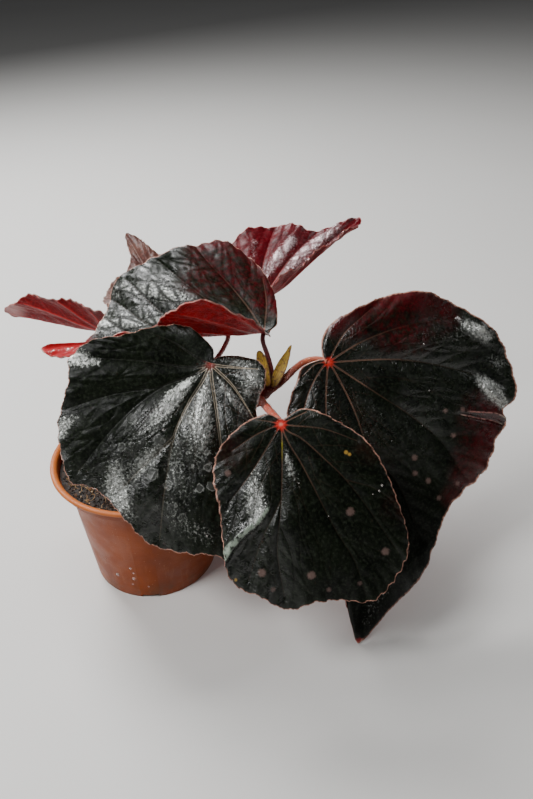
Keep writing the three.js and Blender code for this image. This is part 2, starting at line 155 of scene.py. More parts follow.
# The leaves as in the model, with the veins, creases, red blush and pale spots of each. An outline and a
# vein are polar about the junction: degrees from the midrib towards the blade's left, and millimetres.
# On each leaf, listed strokes paint highlights, and listed patches paint shade by dulling its gloss and
# veins.
LEAVES = [
    {
        "name": "front_left", "skin": "black",
        "junction": [51.6, -19.7, 170.9], "tip": [70.6, -95.2, 70.6], "facing": [0.01, -0.82, 0.57],
        "dome": 6, "wave": [1.5, 9], "glow": [0.42, 3.0], "vein_widths": [0.8, 0.14], "pale": 1,
        "margin_width": [0.8, 0.8],
        "dust": [[-22, 58, 34, 1.0], [-50, 60, 24, 0.7], [20, 24, 20, 0.3]],
        "painted_highlight": [[[-20, 6, 1, 0.7], [-20, 16, 4, 1], [-20, 30, 7, 1], [-18, 42, 9, 0.7],
                [-17, 60, 10, 0.3]], [[-62, 9, 1.5, 0.5], [-60, 20, 4, 1], [-57, 33, 5.5, 1],
                [-54, 50, 6, 0.5], [-54, 70, 7, 0.2]],
            [[18, 8, 1, 0.6], [22, 18, 2.6, 0.9], [25, 34, 4, 0.5]],
            [[86, 12, 4, 0.5], [66, 25, 7, 0.8], [44, 27, 6, 0.6]],
            [[70, 31, 1, 0.4], [52, 33, 1.5, 0.9], [36, 37, 1.5, 0.6]],
            [[-102, 66, 3, 0.6], [-104, 82, 7, 1]], [[-80, 84, 2, 0.5], [-78, 97, 6, 1]],
            [[-60, 74, 3, 0.2], [-52, 84, 7, 0.7], [-46, 94, 8, 0.9], [-38, 100, 5, 0.4]],
            [[-43, 50, 2, 0.3], [-44, 64, 5, 0.7], [-45, 80, 6, 0.5]],
            [[-33, 46, 5, 0.3], [-30, 62, 8, 0.5], [-20, 80, 9, 0.3]], [[-9, 44, 3, 0.3], [-6, 66, 4, 0.4]],
            [[-28, 80, 5, 0.25], [-22, 92, 8, 0.4], [-12, 100, 7, 0.4]]],
        "matt": [[-115, 40, 34, 1], [-96, 58, 34, 1], [-140, 14, 14, 1], [-84, 72, 22, 0.9],
            [-88, 25, 22, 1], [-70, 84, 22, 0.8], [-8, 90, 34, 0.7], [-66, 66, 14, 0.7], [-72, 40, 9, 0.8]],
        "drops": [[-46, 46, 0.7], [-30, 76, 0.6], [12, 70, 0.5], [-12, 100, 0.6]],
        "swells": [[-16, 42, 17, 3.4], [-49, 54, 15, 2.4], [-33, 82, 14, 2.6], [60, 26, 10, 2.2],
            [-12, 82, 14, 1.4], [-118, 84, 44, 3.4], [-30, 50, 40, 2.4]],
        "outline": [[139, 4.5], [160, 9.5], [-179, 15], [-163, 24], [-150, 31], [-132, 42], [-119, 54],
            [-112, 72], [-103, 83], [-95, 83], [-85, 91], [-79, 97], [-70, 102], [-61, 107], [-56, 101],
            [-49, 99], [-38, 104], [-29, 111], [-18, 111], [-10, 111], [-4, 118], [0, 128], [4, 110],
            [10, 84], [20, 58], [34, 38], [48, 34], [65, 33], [82, 29], [98, 17], [120, 8]],
        "stalk": [1.7, 1.3], "stalk_skin": "red",
        "route": [[37, 48, 152.5], [39, 48, 156], [45, 48, 159.5], [55, 42, 162.5], [60.5, 26, 164.5],
            [59, 8, 167], [55, -10, 169.5]],
        "veins": [[[-5, 9], [-3, 27], [-3, 45], [-3, 80], [0, 124]],
            [[-36, 10], [-40, 24], [-39, 33], [-37, 48], [-31, 75], [-27, 108]],
            [[-37, 48], [-43, 66], [-47, 96]], [[-66, 8], [-76, 32], [-68, 66], [-62, 100]],
            [[-76, 32], [-84, 60], [-84, 88]], [[-92, 10], [-104, 40], [-104, 78]],
            [[-128, 9], [-132, 26], [-128, 44]], [[39, 7], [36, 18], [28, 42]], [[72, 7], [74, 28]]],
    },
    {
        "name": "front", "skin": "black",
        "junction": [91, -59, 155], "tip": [135.5, -112, 67], "facing": [0.05, -0.82, 0.57],
        "dome": 3, "wave": [1.2, 11], "glow": [1.0, 3.6], "vein_widths": [0.3, 0.1],
        "margin_width": [1.8, 0.8],
        "olive": [[-25, 12, 3.5, 1], [-26, 17, 3.5, 0.7]],
        "painted_highlight": [[[-58, 26, 2, 0.2], [-50, 36, 5, 0.7], [-44, 45, 6, 0.9], [-41, 55, 4, 0.8],
                [-45, 66, 3, 0.35]], [[-12, 12, 1, 0.3], [-14, 22, 3, 0.65], [-12, 34, 4, 0.3]],
            [[-64, 40, 4, 0.2], [-56, 58, 5, 0.3]]],
        "matt": [[20, 60, 60, 0.8], [0, 95, 44, 0.8], [-90, 25, 24, 0.8], [-60, 50, 14, 0.5]],
        "swells": [[-26, 56, 12, 3.0], [12, 36, 10, 1.8], [30, 60, 14, 1.2], [-8, 84, 16, 1.2],
            [0, 62, 40, 2.0]],
        "outline": [[118, 4], [150, 3.2], [-175, 4.6], [-154, 9.5], [-132, 14], [-117, 20], [-101, 30],
            [-90, 39], [-76, 48], [-61, 58], [-52, 72], [-45, 88], [-39, 95], [-32, 97], [-26, 103],
            [-21, 105], [-15, 102], [-7, 105], [0, 112], [5, 113], [11, 110], [18, 104], [24, 95], [30, 81],
            [41, 64], [54, 48], [68, 31], [85, 21], [101, 14]],
        "stalk": [2.5, 2.2], "stalk_skin": "salmon",
        "route": [[79, -8.5, 138.5], [81, -17.5, 141.5], [85.5, -37, 148.5], [89, -52.5, 154]],
        "veins": [[[-6, 5], [-1, 15], [2, 23], [2, 67], [3, 87], [1, 110]],
            [[-19, 4], [-23, 18], [-25, 42], [-27, 70], [-24, 98]], [[-25, 42], [-34, 62], [-37, 90]],
            [[-56, 3], [-56, 18], [-57, 34], [-59, 54]], [[-96, 5], [-93, 14], [-87, 31]],
            [[-130, 5], [-126, 14]], [[21, 6], [30, 13], [26, 32], [24, 48], [20, 72], [17, 100]],
            [[24, 48], [30, 64], [30, 78]], [[58, 6], [58, 24], [52, 44]], [[92, 6], [90, 16]]],
        "ridges": [{"line": [[-34, 46], [-39, 55], [-44, 62], [-48, 73], [-49, 80]], "height": 3.0,
                "width": 2.2, "flat": [0.1, 1.5], "shown": 1.3}],
        "blush": [[-84, 30, 10, 0.16], [28, 80, 10, 0.08], [47, 50, 9, 0.08]],
        "spots": [[-73, 39.8, 2.6], [13, 62.3, 3.8], [14, 93.6, 3.6], [-32.6, 83.5, 3.6], [-14, 86, 3.8],
            [-9.1, 97.1, 1.8], [-28, 92.9, 1.8], [1.1, 100.9, 1.5]],
        "grains": [[41.2, 39.6, 2.2], [40.8, 41.8, 1.8], [-41.4, 91, 2.0]],
        "drops": [[33.3, 66.7, 0.7], [30.4, 67, 0.65], [27.2, 64.9, 0.4], [2, 58, 0.4], [-8, 34, 0.4]],
    },
    {
        "name": "right", "skin": "black",
        "junction": [122, -4.5, 160.5], "tip": [129.5, -88.5, 3], "facing": [0.1, -0.82, 0.57],
        "dome": 1.5, "wave": [1.8, 12], "glow": [0.85, 3.8], "vein_widths": [0.4, 0.1],
        "margin_width": [2.2, 1.8],
        "painted_highlight": [[[103, 84, 2, 0.3], [99, 91, 4, 1], [94, 101, 4, 1]],
            [[81, 91, 2, 0.3], [78, 99, 4.5, 1], [75, 107, 5.5, 1], [72, 115, 4, 0.9]],
            [[100, 54, 4, 0.15], [96, 82, 6, 0.35]], [[88, 98, 2, 0.2], [85, 109, 5, 0.5]],
            [[33, 14, 3, 0.15], [38, 34, 6, 0.2], [42, 56, 7, 0.1]],
            [[14, 120, 7, 0.25], [9, 150, 8, 0.35], [4.5, 168, 4, 0.35]]],
        "matt": [[124, 45, 26, 0.9], [20, 110, 50, 0.9], [50, 100, 24, 0.7], [60, 40, 14, 0.8],
            [5, 150, 34, 0.8]],
        "crimson": [[2.6, 180, 3.4, 0.8]],
        "swells": [[97, 97, 5, 1.7], [76.5, 104, 6, 2.2], [2, 177, 14, 2.3], [100, 62, 24, 2.2],
            [38, 76, 16, 2.0], [4, 70, 16, 1.8], [-20, 34, 12, 1.4], [62, 88, 14, 1.6], [12, 120, 16, 1.4]],
        "outline": [[-124, 3.5], [-104, 7], [-84, 16], [-64, 22], [-52, 30], [-42, 41], [-31, 58],
            [-20, 80], [-11, 107], [-3.4, 131], [0.2, 148], [1, 160], [1.5, 171], [2, 179], [3.2, 179],
            [8, 170], [15, 157], [22, 147], [27, 136], [35, 122], [49, 123], [58, 120], [63, 119.5],
            [66, 123], [70, 117], [76, 122], [86, 115.5], [95, 107], [104, 94], [113, 82], [122, 72],
            [132, 56], [144, 40], [158, 29], [173, 22.5], [-168, 13.5], [-147, 6]],
        "stalk": [2.7, 1.6], "stalk_skin": "orange",
        "route": [[82, -7.8, 141], [88.5, -4.5, 143.5], [95, -2.5, 148], [101.5, 0, 153.5], [108, 1, 158],
            [115.5, -0.5, 160.5]],
        "veins": [[[30, 6], [25, 31], [22, 49], [20, 62], [12, 104], [6, 140], [2.4, 172]],
            [[20, 62], [26, 88], [24, 130]], [[54, 7], [53, 38], [53, 57], [51, 86], [46, 118]],
            [[86, 3], [87, 46], [82, 80], [78, 114]], [[119, 3], [116, 25], [110, 54], [104, 84]],
            [[150, 5], [146, 20], [136, 42]], [[-14, 3], [-7, 28], [-3, 64], [2, 110]],
            [[-52, 5], [-38, 20], [-28, 46]], [[-87, 8], [-66, 18]]],
        "ridges": [{"line": [[64, 90], [65.2, 104], [66, 113], [66, 121]], "height": -1.4, "width": 1.4,
                "shown": 0.5}, {"line": [[66, 93], [67.6, 104], [68.5, 113], [68, 121]], "height": 0.9,
                "width": 1.2, "shown": 0.6}, {"line": [[104, 86], [100, 92], [97, 99]], "height": 1.0,
                "width": 1.1, "shown": 0.01}, {"line": [[99, 84], [96, 92], [92, 102]], "height": 1.0,
                "width": 1.0, "shown": 0.01}, {"line": [[82, 95], [79, 103], [76, 112]], "height": 1.0,
                "width": 1.1, "shown": 0.01}, {"line": [[79, 92], [76, 102], [73, 113]], "height": 1.1,
                "width": 1.0, "shown": 0.01}, {"line": [[86, 100], [83, 108], [80, 116]], "height": 0.8,
                "width": 1.1, "shown": 0.01}],
        "blush": [[118, 54, 26, 0.75], [108, 74, 14, 0.55], [146, 32, 18, 0.75], [66, 104, 17, 0.65],
            [60, 108, 16, 0.6], [53, 111, 14, 0.55], [46, 115, 12, 0.45], [39, 118, 9, 0.35],
            [160, 24, 10, 0.8]],
        "spots": [[38, 80.6, 3.0], [34, 88.8, 2.4], [36.2, 98.5, 3.0], [35.3, 111.9, 2.4], [43, 115, 2.2],
            [55.4, 91.8, 2.2], [66.1, 90, 2.0], [63, 79.7, 2.0], [18.9, 131.3, 2.0]],
        "drops": [[96, 60, 0.5], [70, 66, 0.5], [52, 72, 0.4], [22, 90, 0.6]],
    },
    {
        "name": "top", "skin": "black",
        "junction": [83.5, 14, 173], "tip": [-64, 36, 155], "facing": [0, 0, 1], "glow": [0.35, 3],
        "vein_widths": [0.4, 0.14],
        "painted_highlight": [[[-24, 40, 3, 0.3], [-26, 70, 8, 0.6], [-24, 112, 9, 0.6]],
            [[-9, 36, 3, 0.3], [-10, 70, 8, 0.6], [-9, 110, 9, 0.7]],
            [[-1, 118, 2, 0.3], [2, 126, 3, 0.55], [1, 134, 2, 0.35], [2, 141, 2, 0.5]]],
        "matt": [[-60, 74, 26, 1], [-68, 50, 24, 1], [-90, 32, 22, 1], [-102, 16, 14, 1], [-46, 60, 15, 1],
            [-46, 45, 15, 1], [-50, 82, 14, 1], [-44, 26, 14, 1], [-40, 94, 12, 0.9], [-40, 72, 10, 0.6],
            [2, 136, 24, 1]],
        "crimson": [[1, 136, 22, 1]],
        "fold": {"left": [50, -5], "right": [28, 15], "between": [85, 125]}, "wave": [1.5, 12],
        "swells": [[-34, 66, 34, 4.5], [-70, 74, 20, 1.5]],
        "outline": [[-178, 3.5], [-140, 10.5], [-103, 26], [-93, 37], [-84, 50], [-77, 62], [-68.5, 77],
            [-61, 85], [-51.5, 94], [-44, 98], [-39, 105], [-34, 110], [-30, 117], [-25, 120], [-20, 117],
            [-14, 113], [-7, 113.5], [-4, 116], [-1.5, 125], [-1, 139], [0, 149], [3, 141], [6, 129],
            [9, 115], [11, 102], [13, 90], [17, 78], [28, 68], [41, 66], [51, 69], [62, 69], [71, 63],
            [77, 54], [82, 42], [88, 27], [98, 17], [131, 7.5]],
        "quilted": 0.95, "wine": 0, "stalk": [1.6, 1.4], "stalk_skin": "maroon",
        "route": [[83, -7.5, 142.5], [87, -3.5, 148], [87.4, -1, 152.5], [85.5, 3, 161],
            [82.5, 9.5, 169.5]],
        "veins": [[[-1, 20], [0, 60], [-0.5, 110], [0, 146]], [[-30, 14], [-34, 40], [-37, 70], [-40, 100]],
            [[-60, 10], [-60, 22], [-57, 45], [-55, 66], [-55, 88]], [[-92, 8], [-90, 24], [-86, 42]],
            [[-1, 36], [-14, 66], [-28, 112]], [[-1, 58], [-11, 84], [-20, 114]],
            [[-1, 80], [-7, 98], [-12, 112]], [[24, 12], [26, 36], [24, 64]],
            [[56, 10], [56, 34], [54, 64]], [[86, 8], [82, 34]]],
        "blush": [[-72, 52, 28, 0.7], [-96, 26, 16, 0.9], [-60, 76, 20, 0.7], [-46, 60, 18, 0.6],
            [0, 128, 16, 1.0]],
    },
    {
        "name": "back_right", "skin": "maroon",
        "junction": [81, 68, 165.4], "tip": [156, 142, 194.3], "facing": [0, 0, 1],
        "fold": {"left": [12, 12], "right": [56, 56]}, "wave": [1.5, 9],
        "painted_highlight": [[[32, 20, 2, 0.4], [26, 40, 5, 1], [20, 64, 5, 0.8]],
            [[6, 26, 2, 0.4], [8, 54, 6, 1], [4, 92, 4, 0.8]], [[50, 34, 2, 0.3], [46, 60, 4, 0.6]]],
        "matt": [[44, 60, 34, 0.9], [20, 50, 26, 0.6], [80, 40, 24, 0.9], [5, 60, 20, 0.3]],
        "quilted": 0.7,
        "outline": [[-172, 4], [-140, 13], [-110, 28], [-85, 33], [-60, 36], [-38, 43], [-22, 58],
            [-10, 80], [-3, 99], [0, 111], [2.5, 103], [5.5, 93], [9.5, 86], [14.5, 80], [25, 80.5],
            [36, 78], [46, 76], [53, 71], [60, 65], [82, 55], [100, 46], [120, 32], [145, 15]],
        "stalk": [1.5, 1.3], "stalk_skin": "red",
        "route": [[38, 48.7, 153.5], [45, 53, 156.5], [55, 58, 158.5], [70, 64, 159], [79.5, 67, 161.5]],
        "veins": [[[0, 20], [0, 60], [0, 108]], [[14, 16], [15, 45], [11, 82]],
            [[38, 14], [38, 40], [34, 76]], [[64, 12], [62, 38], [56, 66]], [[98, 10], [96, 42]],
            [[-20, 14], [-18, 56]], [[-54, 10], [-52, 36]], [[-100, 8], [-104, 26]]],
    },
    {
        "name": "far_left", "skin": "maroon",
        "junction": [-24.5, 72, 143], "tip": [-104, 102, 149], "facing": [0, 0.5, 0.86],
        "fold": {"left": [36, 36], "right": [20, 20]}, "wave": [2, 8], "painted_tip_highlight": [[8, 77, 13, 1]],
        "wine": 0.8,
        "outline": [[-172, 4], [-140, 14], [-110, 27], [-85, 34], [-60, 37], [-38, 44], [-22, 55], [-9, 69],
            [-3, 74], [0, 80], [2.3, 83], [9, 75], [22, 65], [36, 55], [46, 47], [57, 40], [70, 37],
            [80, 36.5], [95, 30], [110, 20], [130, 12], [150, 6]],
        "stalk": [1.5, 1.3], "stalk_skin": "red",
        "route": [[33, 45.6, 147.5], [24, 49, 149.5], [10, 56, 149], [-6, 64, 145], [-18, 70, 141.5]],
        "veins": [[[0, 20], [0, 50], [1, 80]], [[22, 14], [22, 36], [20, 62]], [[48, 12], [50, 42]],
            [[84, 8], [84, 30]], [[-22, 14], [-24, 52]], [[-60, 10], [-62, 34]], [[-104, 8], [-108, 26]]],
    },
    {
        "name": "back", "skin": "maroon", "tint": "faded",
        "junction": [10, 98, 161], "tip": [-22, 169, 177], "facing": [-0.2, -0.3, 1],
        "fold": {"left": [15, 15], "right": [15, 15]}, "wave": [1.4, 9], "matt": [[0, 40, 80, 0.9]],
        "outline": [[-172, 4], [-140, 15], [-112, 26], [-88, 32], [-62, 34], [-40, 34], [-22, 38],
            [-11, 52], [-5, 70], [0, 79], [2, 68], [7, 48], [24, 37], [44, 36], [62, 38], [82, 40],
            [105, 36], [128, 26], [152, 11]],
        "stalk": [1.5, 1.3], "stalk_skin": "red",
        "route": [[35.5, 47.3, 150.5], [33, 57, 154.5], [27, 70, 159.5], [17, 87, 160], [11.5, 95, 158]],
        "veins": [[[0, 20], [0, 50], [0, 77]], [[26, 12], [26, 34]], [[64, 10], [64, 35]],
            [[100, 8], [104, 33]], [[-26, 12], [-26, 34]], [[-64, 10], [-64, 32]], [[-108, 8], [-112, 25]]],
    },
]

CANES = {
    "cane_front": [[12, -5, 64], [12, -5, 72], [18, -6, 90], [40, -9, 108], [63, -10, 127],
        [79, -8.5, 138.5], [83.5, -7.5, 143]],
    "cane_back": [[2, 9, 64], [2, 9, 72], [4, 13, 90], [10, 25, 112], [22, 38, 134], [35, 47, 150],
        [39, 49, 155]],
}

STIPULES = [
    {"name": "stipule_left", "junction": [84, -6.5, 147.6], "tip": [80.5, 6, 163.5],
        "facing": [-0.25, -0.9, 0.3], "outline": [[-160, 2], [-100, 3.2], [-50, 4.8], [-30, 8], [-19, 12.5],
            [-13, 16.5], [-6, 19.5], [1, 20.7], [8, 17.5], [15, 12.5], [26, 8], [48, 4.6], [100, 3],
            [160, 2]]},
    {"name": "stipule_right", "junction": [88.2, -6.8, 147.2], "tip": [100.5, 7, 166.5],
        "facing": [-0.3, -0.9, 0.3], "outline": [[-160, 2], [-90, 2.6], [-38, 5], [-19, 10.5], [-10, 16],
            [-4, 22], [0, 26.5], [6, 19], [12, 14.5], [20, 10], [38, 5], [90, 2.6], [160, 2]]},
]


# Meshes
def pick(obj):
    bpy.ops.object.select_all(action="DESELECT")
    obj.select_set(True)
    bpy.context.view_layer.objects.active = obj


def apply_modifiers(obj):
    pick(obj)
    for modifier in list(obj.modifiers):
        bpy.ops.object.modifier_apply(modifier=modifier.name)


def mesh_piece(name, points, faces):
    mesh = bpy.data.meshes.new(name)
    mesh.from_pydata((np.asarray(points, float) * MM).tolist(), [], faces)
    obj = bpy.data.objects.new(name, mesh)
    bpy.context.scene.collection.objects.link(obj)
    return obj


def face_out(obj, merge=1e-6):
    pick(obj)
    bpy.ops.object.mode_set(mode="EDIT")
    bpy.ops.mesh.select_all(action="SELECT")
    bpy.ops.mesh.remove_doubles(threshold=merge)
    bpy.ops.mesh.normals_make_consistent(inside=False)
    bpy.ops.object.mode_set(mode="OBJECT")


def smooth(obj, degrees):
    pick(obj)
    bpy.ops.object.shade_smooth_by_angle(angle=math.radians(degrees))


def dress(obj, slot, materials, *nodes):
    obj.data.materials.clear()
    for material in materials:
        obj.data.materials.append(material)
    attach(obj, "root")
    if nodes:
        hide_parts(*nodes)


def turned(name, profile, steps):
    """A profile of radius and height, turned all the way round the Z axis."""
    obj = mesh_piece(name, [[radius, 0, height] for radius, height in profile], [])
    obj.data.edges.add(len(profile) - 1)
    for i, edge in enumerate(obj.data.edges):
        edge.vertices = [i, i + 1]
    pick(obj)
    bpy.ops.object.mode_set(mode="EDIT")
    bpy.ops.mesh.select_all(action="SELECT")
    bpy.ops.mesh.spin(steps=steps, angle=2 * math.pi, center=(0, 0, 0), axis=(0, 0, 1))
    bpy.ops.object.mode_set(mode="OBJECT")
    face_out(obj, merge=2e-5)
    return obj


def cut_away(obj, cutter):
    modifier = obj.modifiers.new("cut", "BOOLEAN")
    modifier.operation = "DIFFERENCE"
    modifier.solver = "EXACT"
    modifier.object = cutter
    apply_modifiers(obj)
    bpy.data.objects.remove(cutter)


# Nodes of a material or a group
class Value:
    """An output of a node. A sum, a difference or a product of values adds the node that works it out."""

    def __init__(self, net, socket):
        self.net = net
        self.socket = socket

    def __getitem__(self, name):
        return Value(self.net, self.socket.node.outputs[name])

    def __add__(self, other):
        return self.net.math("ADD", self, other)

    def __sub__(self, other):
        return self.net.math("SUBTRACT", self, other)

    def __rsub__(self, other):
        return self.net.math("SUBTRACT", other, self)

    def __mul__(self, other):
        return self.net.math("MULTIPLY", self, other)

    def __abs__(self):
        return self.net.math("ABSOLUTE", self)

    def most(self, other):
        return self.net.math("MAXIMUM", self, other)

    def least(self, other):
        return self.net.math("MINIMUM", self, other)

    def below(self, other):
        return self.net.math("LESS_THAN", self, other)

    def spread(self, low, high, to_low=0.0, to_high=1.0):
        """The value from low to high, eased into the range from to_low to to_high."""
        inputs = {"Value": self, "From Min": low, "From Max": high, "To Min": to_low, "To Max": to_high}
        return self.net.add("MapRange", inputs, interpolation_type="SMOOTHSTEP")


class Net:
    def __init__(self, tree):
        self.nodes = tree.nodes
        self.links = tree.links

    def feed(self, socket, value):
        if isinstance(value, Value):
            self.links.new(value.socket, socket)
        elif hasattr(value, "__len__") and len(value) == 3 and len(socket.default_value) == 4:
            socket.default_value = (*value, 1)
        else:
            socket.default_value = value

    def add(self, kind, inputs, output=0, **settings):
        node = self.nodes.new("ShaderNode" + kind)
        for key, value in settings.items():
            setattr(node, key, value)
        for key, value in inputs.items():
            self.feed(node.inputs[key], value)
        return Value(self, node.outputs[output])

    def math(self, operation, a, b=0.0):
        return self.add("Math", {0: a, 1: b}, operation=operation)

    def mix(self, factor, a, b):
        return self.add("Mix", {0: factor, 6: a, 7: b}, 2, data_type="RGBA")

    def noise(self, vector, scale, detail=3.0, roughness=0.55, output="Fac"):
        inputs = {"Vector": vector, "Scale": scale, "Detail": detail, "Roughness": roughness}
        return self.add("TexNoise", inputs, output)

    def cells(self, vector, scale, feature="F1"):
        inputs = {"Vector": vector, "Scale": scale, "Randomness": 1.0}
        return self.add("TexVoronoi", inputs, "Distance", feature=feature)

    def stretched(self, vector, x, y, z):
        return self.add("Mapping", {"Vector": vector, "Scale": (x, y, z)})

    def drifted(self, place, scale, most):
        """The place, moved by a slow noise, so that cells laid on it lose their even shape."""
        drift = self.noise(place, scale, 2.0, 0.5, "Color")
        bent = self.add("VectorMath", {0: drift, 1: (most, most, most)}, operation="MULTIPLY")
        return self.add("VectorMath", {0: place, 1: bent}, operation="ADD")

    def attribute(self, name):
        return self.add("Attribute", {}, "Fac", attribute_name=name)


class Group(Net):
    """A node group; an input without a number is a vector, and each output is a value."""

    def __init__(self, name, inputs, outputs):
        self.tree = bpy.data.node_groups.new(name, "ShaderNodeTree")
        for label, value in inputs.items():
            kind = "NodeSocketVector" if value is None else "NodeSocketFloat"
            socket = self.tree.interface.new_socket(label, in_out="INPUT", socket_type=kind)
            if value is not None:
                socket.default_value = value
        for label in outputs:
            self.tree.interface.new_socket(label, in_out="OUTPUT", socket_type="NodeSocketFloat")
        super().__init__(self.tree)
        given = self.nodes.new("NodeGroupInput").outputs
        self.given = [Value(self, given[label]) for label in inputs]
        self.gives = self.nodes.new("NodeGroupOutput").inputs

    def give(self, results):
        for label, value in results.items():
            self.feed(self.gives[label], value)
        return self.tree


def mottle_group():
    """Soft cloudy patches: a mask from 0 to 1."""
    group = Group("mottle", {"Vector": None, "Scale": 1.0, "Low": 0.4, "High": 0.6}, ["Mask"])
    vector, scale, low, high = group.given
    return group.give({"Mask": group.noise(vector, scale, 4.0, 0.6).spread(low, high)})


def flecks_group():
    """Small separate flecks, a share of the cells of a grid: a mask from 0 to 1."""
    group = Group("flecks", {"Vector": None, "Scale": 1.0, "Size": 0.3, "Share": 0.5}, ["Mask"])
    vector, scale, size, share = group.given
    cells = group.cells(vector, scale)
    chosen = group.add("SeparateColor", {"Color": cells["Color"]}).below(share)
    return group.give({"Mask": (size - cells).spread(0.0, 0.08) * chosen})


def rings_group():
    """The thin pale rims that drops of water leave when they dry, on a share of the cells of a grid."""
    group = Group("water marks", {"Vector": None, "Scale": 1.0, "Share": 0.3}, ["Mask"])
    vector, scale, share = group.given
    place = group.drifted(vector, 0.45, 3.2)
    cells = group.cells(place, scale)
    chance = group.add("SeparateColor", {"Color": cells["Color"]})
    size = chance[1].spread(0.0, 1.0, 0.14, 0.5)
    broken = group.noise(place, 0.7, 2.0).spread(0.34, 0.5)
    rim = abs(cells - size).spread(0.085, 0.01) * broken
    inside = cells.below(size) * 0.2
    return group.give({"Mask": rim.most(inside) * chance.below(share)})


def leaf_lines_group():
    """The lines of a blade, read from its attributes: main and side veins, the net, margin and relief."""
    outputs = ["Main", "Core", "Side", "Groove", "Net", "Margin", "Relief"]
    group = Group("leaf lines", {"Vector": None, "Vein width": 0.0}, outputs)
    place, vein_width = group.given
    wobble = (group.noise(place, 0.5, 2.0) - 0.5) * 0.4
    vein = group.attribute("vein") + wobble - vein_width
    side = group.attribute("side_vein") + wobble
    main_mask = vein.spread(0.3, -0.02)
    side_mask = side.spread(0.3, -0.1)
    shifted = group.drifted(place, 0.35, 2.2)
    web = group.cells(shifted, 0.42, "DISTANCE_TO_EDGE").spread(0.16, 0.0)
    fine_web = group.cells(shifted, 1.1, "DISTANCE_TO_EDGE").spread(0.2, 0.0)
    relief = group.noise(shifted, 0.7) * 1.6
    for mask, depth in [(web, 0.6), (fine_web, 0.16), (main_mask, 0.6), (side_mask, 0.5)]:
        relief = relief - mask * depth
    return group.give({
        "Main": main_mask, "Core": vein.spread(-0.1, -0.3), "Side": side_mask,
        "Groove": vein.least(side).spread(1.9, 0.35), "Net": web, "Relief": relief,
        "Margin": (group.attribute("margin") + wobble * 2.0).spread(0.9, 0.2),
    })


MOTTLE = mottle_group()
FLECKS = flecks_group()
WATER_MARKS = rings_group()
LEAF_LINES = leaf_lines_group()


class Coat(Net):
    """A material painted in layers: each lays a tone over those below it, as far as its mask reaches."""

    def __init__(self, name, on_blade=False):
        self.material = bpy.data.materials.new(name)
        self.material.use_nodes = True
        super().__init__(self.material.node_tree)
        self.skin = self.nodes["Principled BSDF"].inputs
        if on_blade:
            uv = self.add("UVMap", {}, uv_map="flat")
            self.place = self.stretched(uv, UV_SIZE, UV_SIZE, UV_SIZE)
        else:
            self.place = self.add("TexCoord", {}, "Object")

    def group(self, tree, **inputs):
        return self.add("Group", {"Vector": self.place, **inputs}, node_tree=tree)

    def clouds(self, scale, low, high):
        return self.group(MOTTLE, Scale=scale, Low=low, High=high)

    def dots(self, scale, size, share):
        return self.group(FLECKS, Scale=scale, Size=size, Share=share)

    def base(self, mask, one, other):
        self.colour = self.mix(mask, one, other)

    def paint(self, mask, tone):
        self.colour = self.mix(mask, self.colour, tone)

    def fixed(self, **values):
        """Sets what is the same all over on the shader's own sockets."""
        for name, value in values.items():
            self.skin[name.replace("_", " ")].default_value = value

    def finish(self, rough, relief, metres):
        self.feed(self.skin["Base Color"], self.colour)
        self.feed(self.skin["Roughness"], rough)
        self.feed(self.skin["Normal"], self.add("Bump", {"Height": relief, "Distance": metres}))
        return self.material


def times(share, tone):
    return tuple(share * c for c in tone)


# Tones of the leaves' upper faces; the first is the tone of the painted highlights
PAINTED_HIGHLIGHT_TONE = (0.47, 0.49, 0.45)
CRIMSON_TIP = (0.27, 0.003, 0.006)
PALE_VEIN = (0.5, 0.42, 0.31)
OLIVE_VEIN = (0.4, 0.34, 0.03)
RED_VEIN = (0.5, 0.045, 0.03)
VEIN_CORE = (0.4, 0.03, 0.02)
PINK_SPOT = (0.24, 0.15, 0.13)
OCHRE_GRAIN = (0.42, 0.25, 0.05)
# Tones of the painted highlight on creases' crests
PALE_CREST_HIGHLIGHT = (0.26, 0.31, 0.25)
RED_CREST_HIGHLIGHT = (0.38, 0.07, 0.07)
JUNCTION_RED = (0.7, 0.03, 0.02)
JUNCTION_CENTRE = (0.85, 0.35, 0.26)
DRIED_WATER = (0.25, 0.26, 0.24)
DUST = (0.3, 0.3, 0.27)


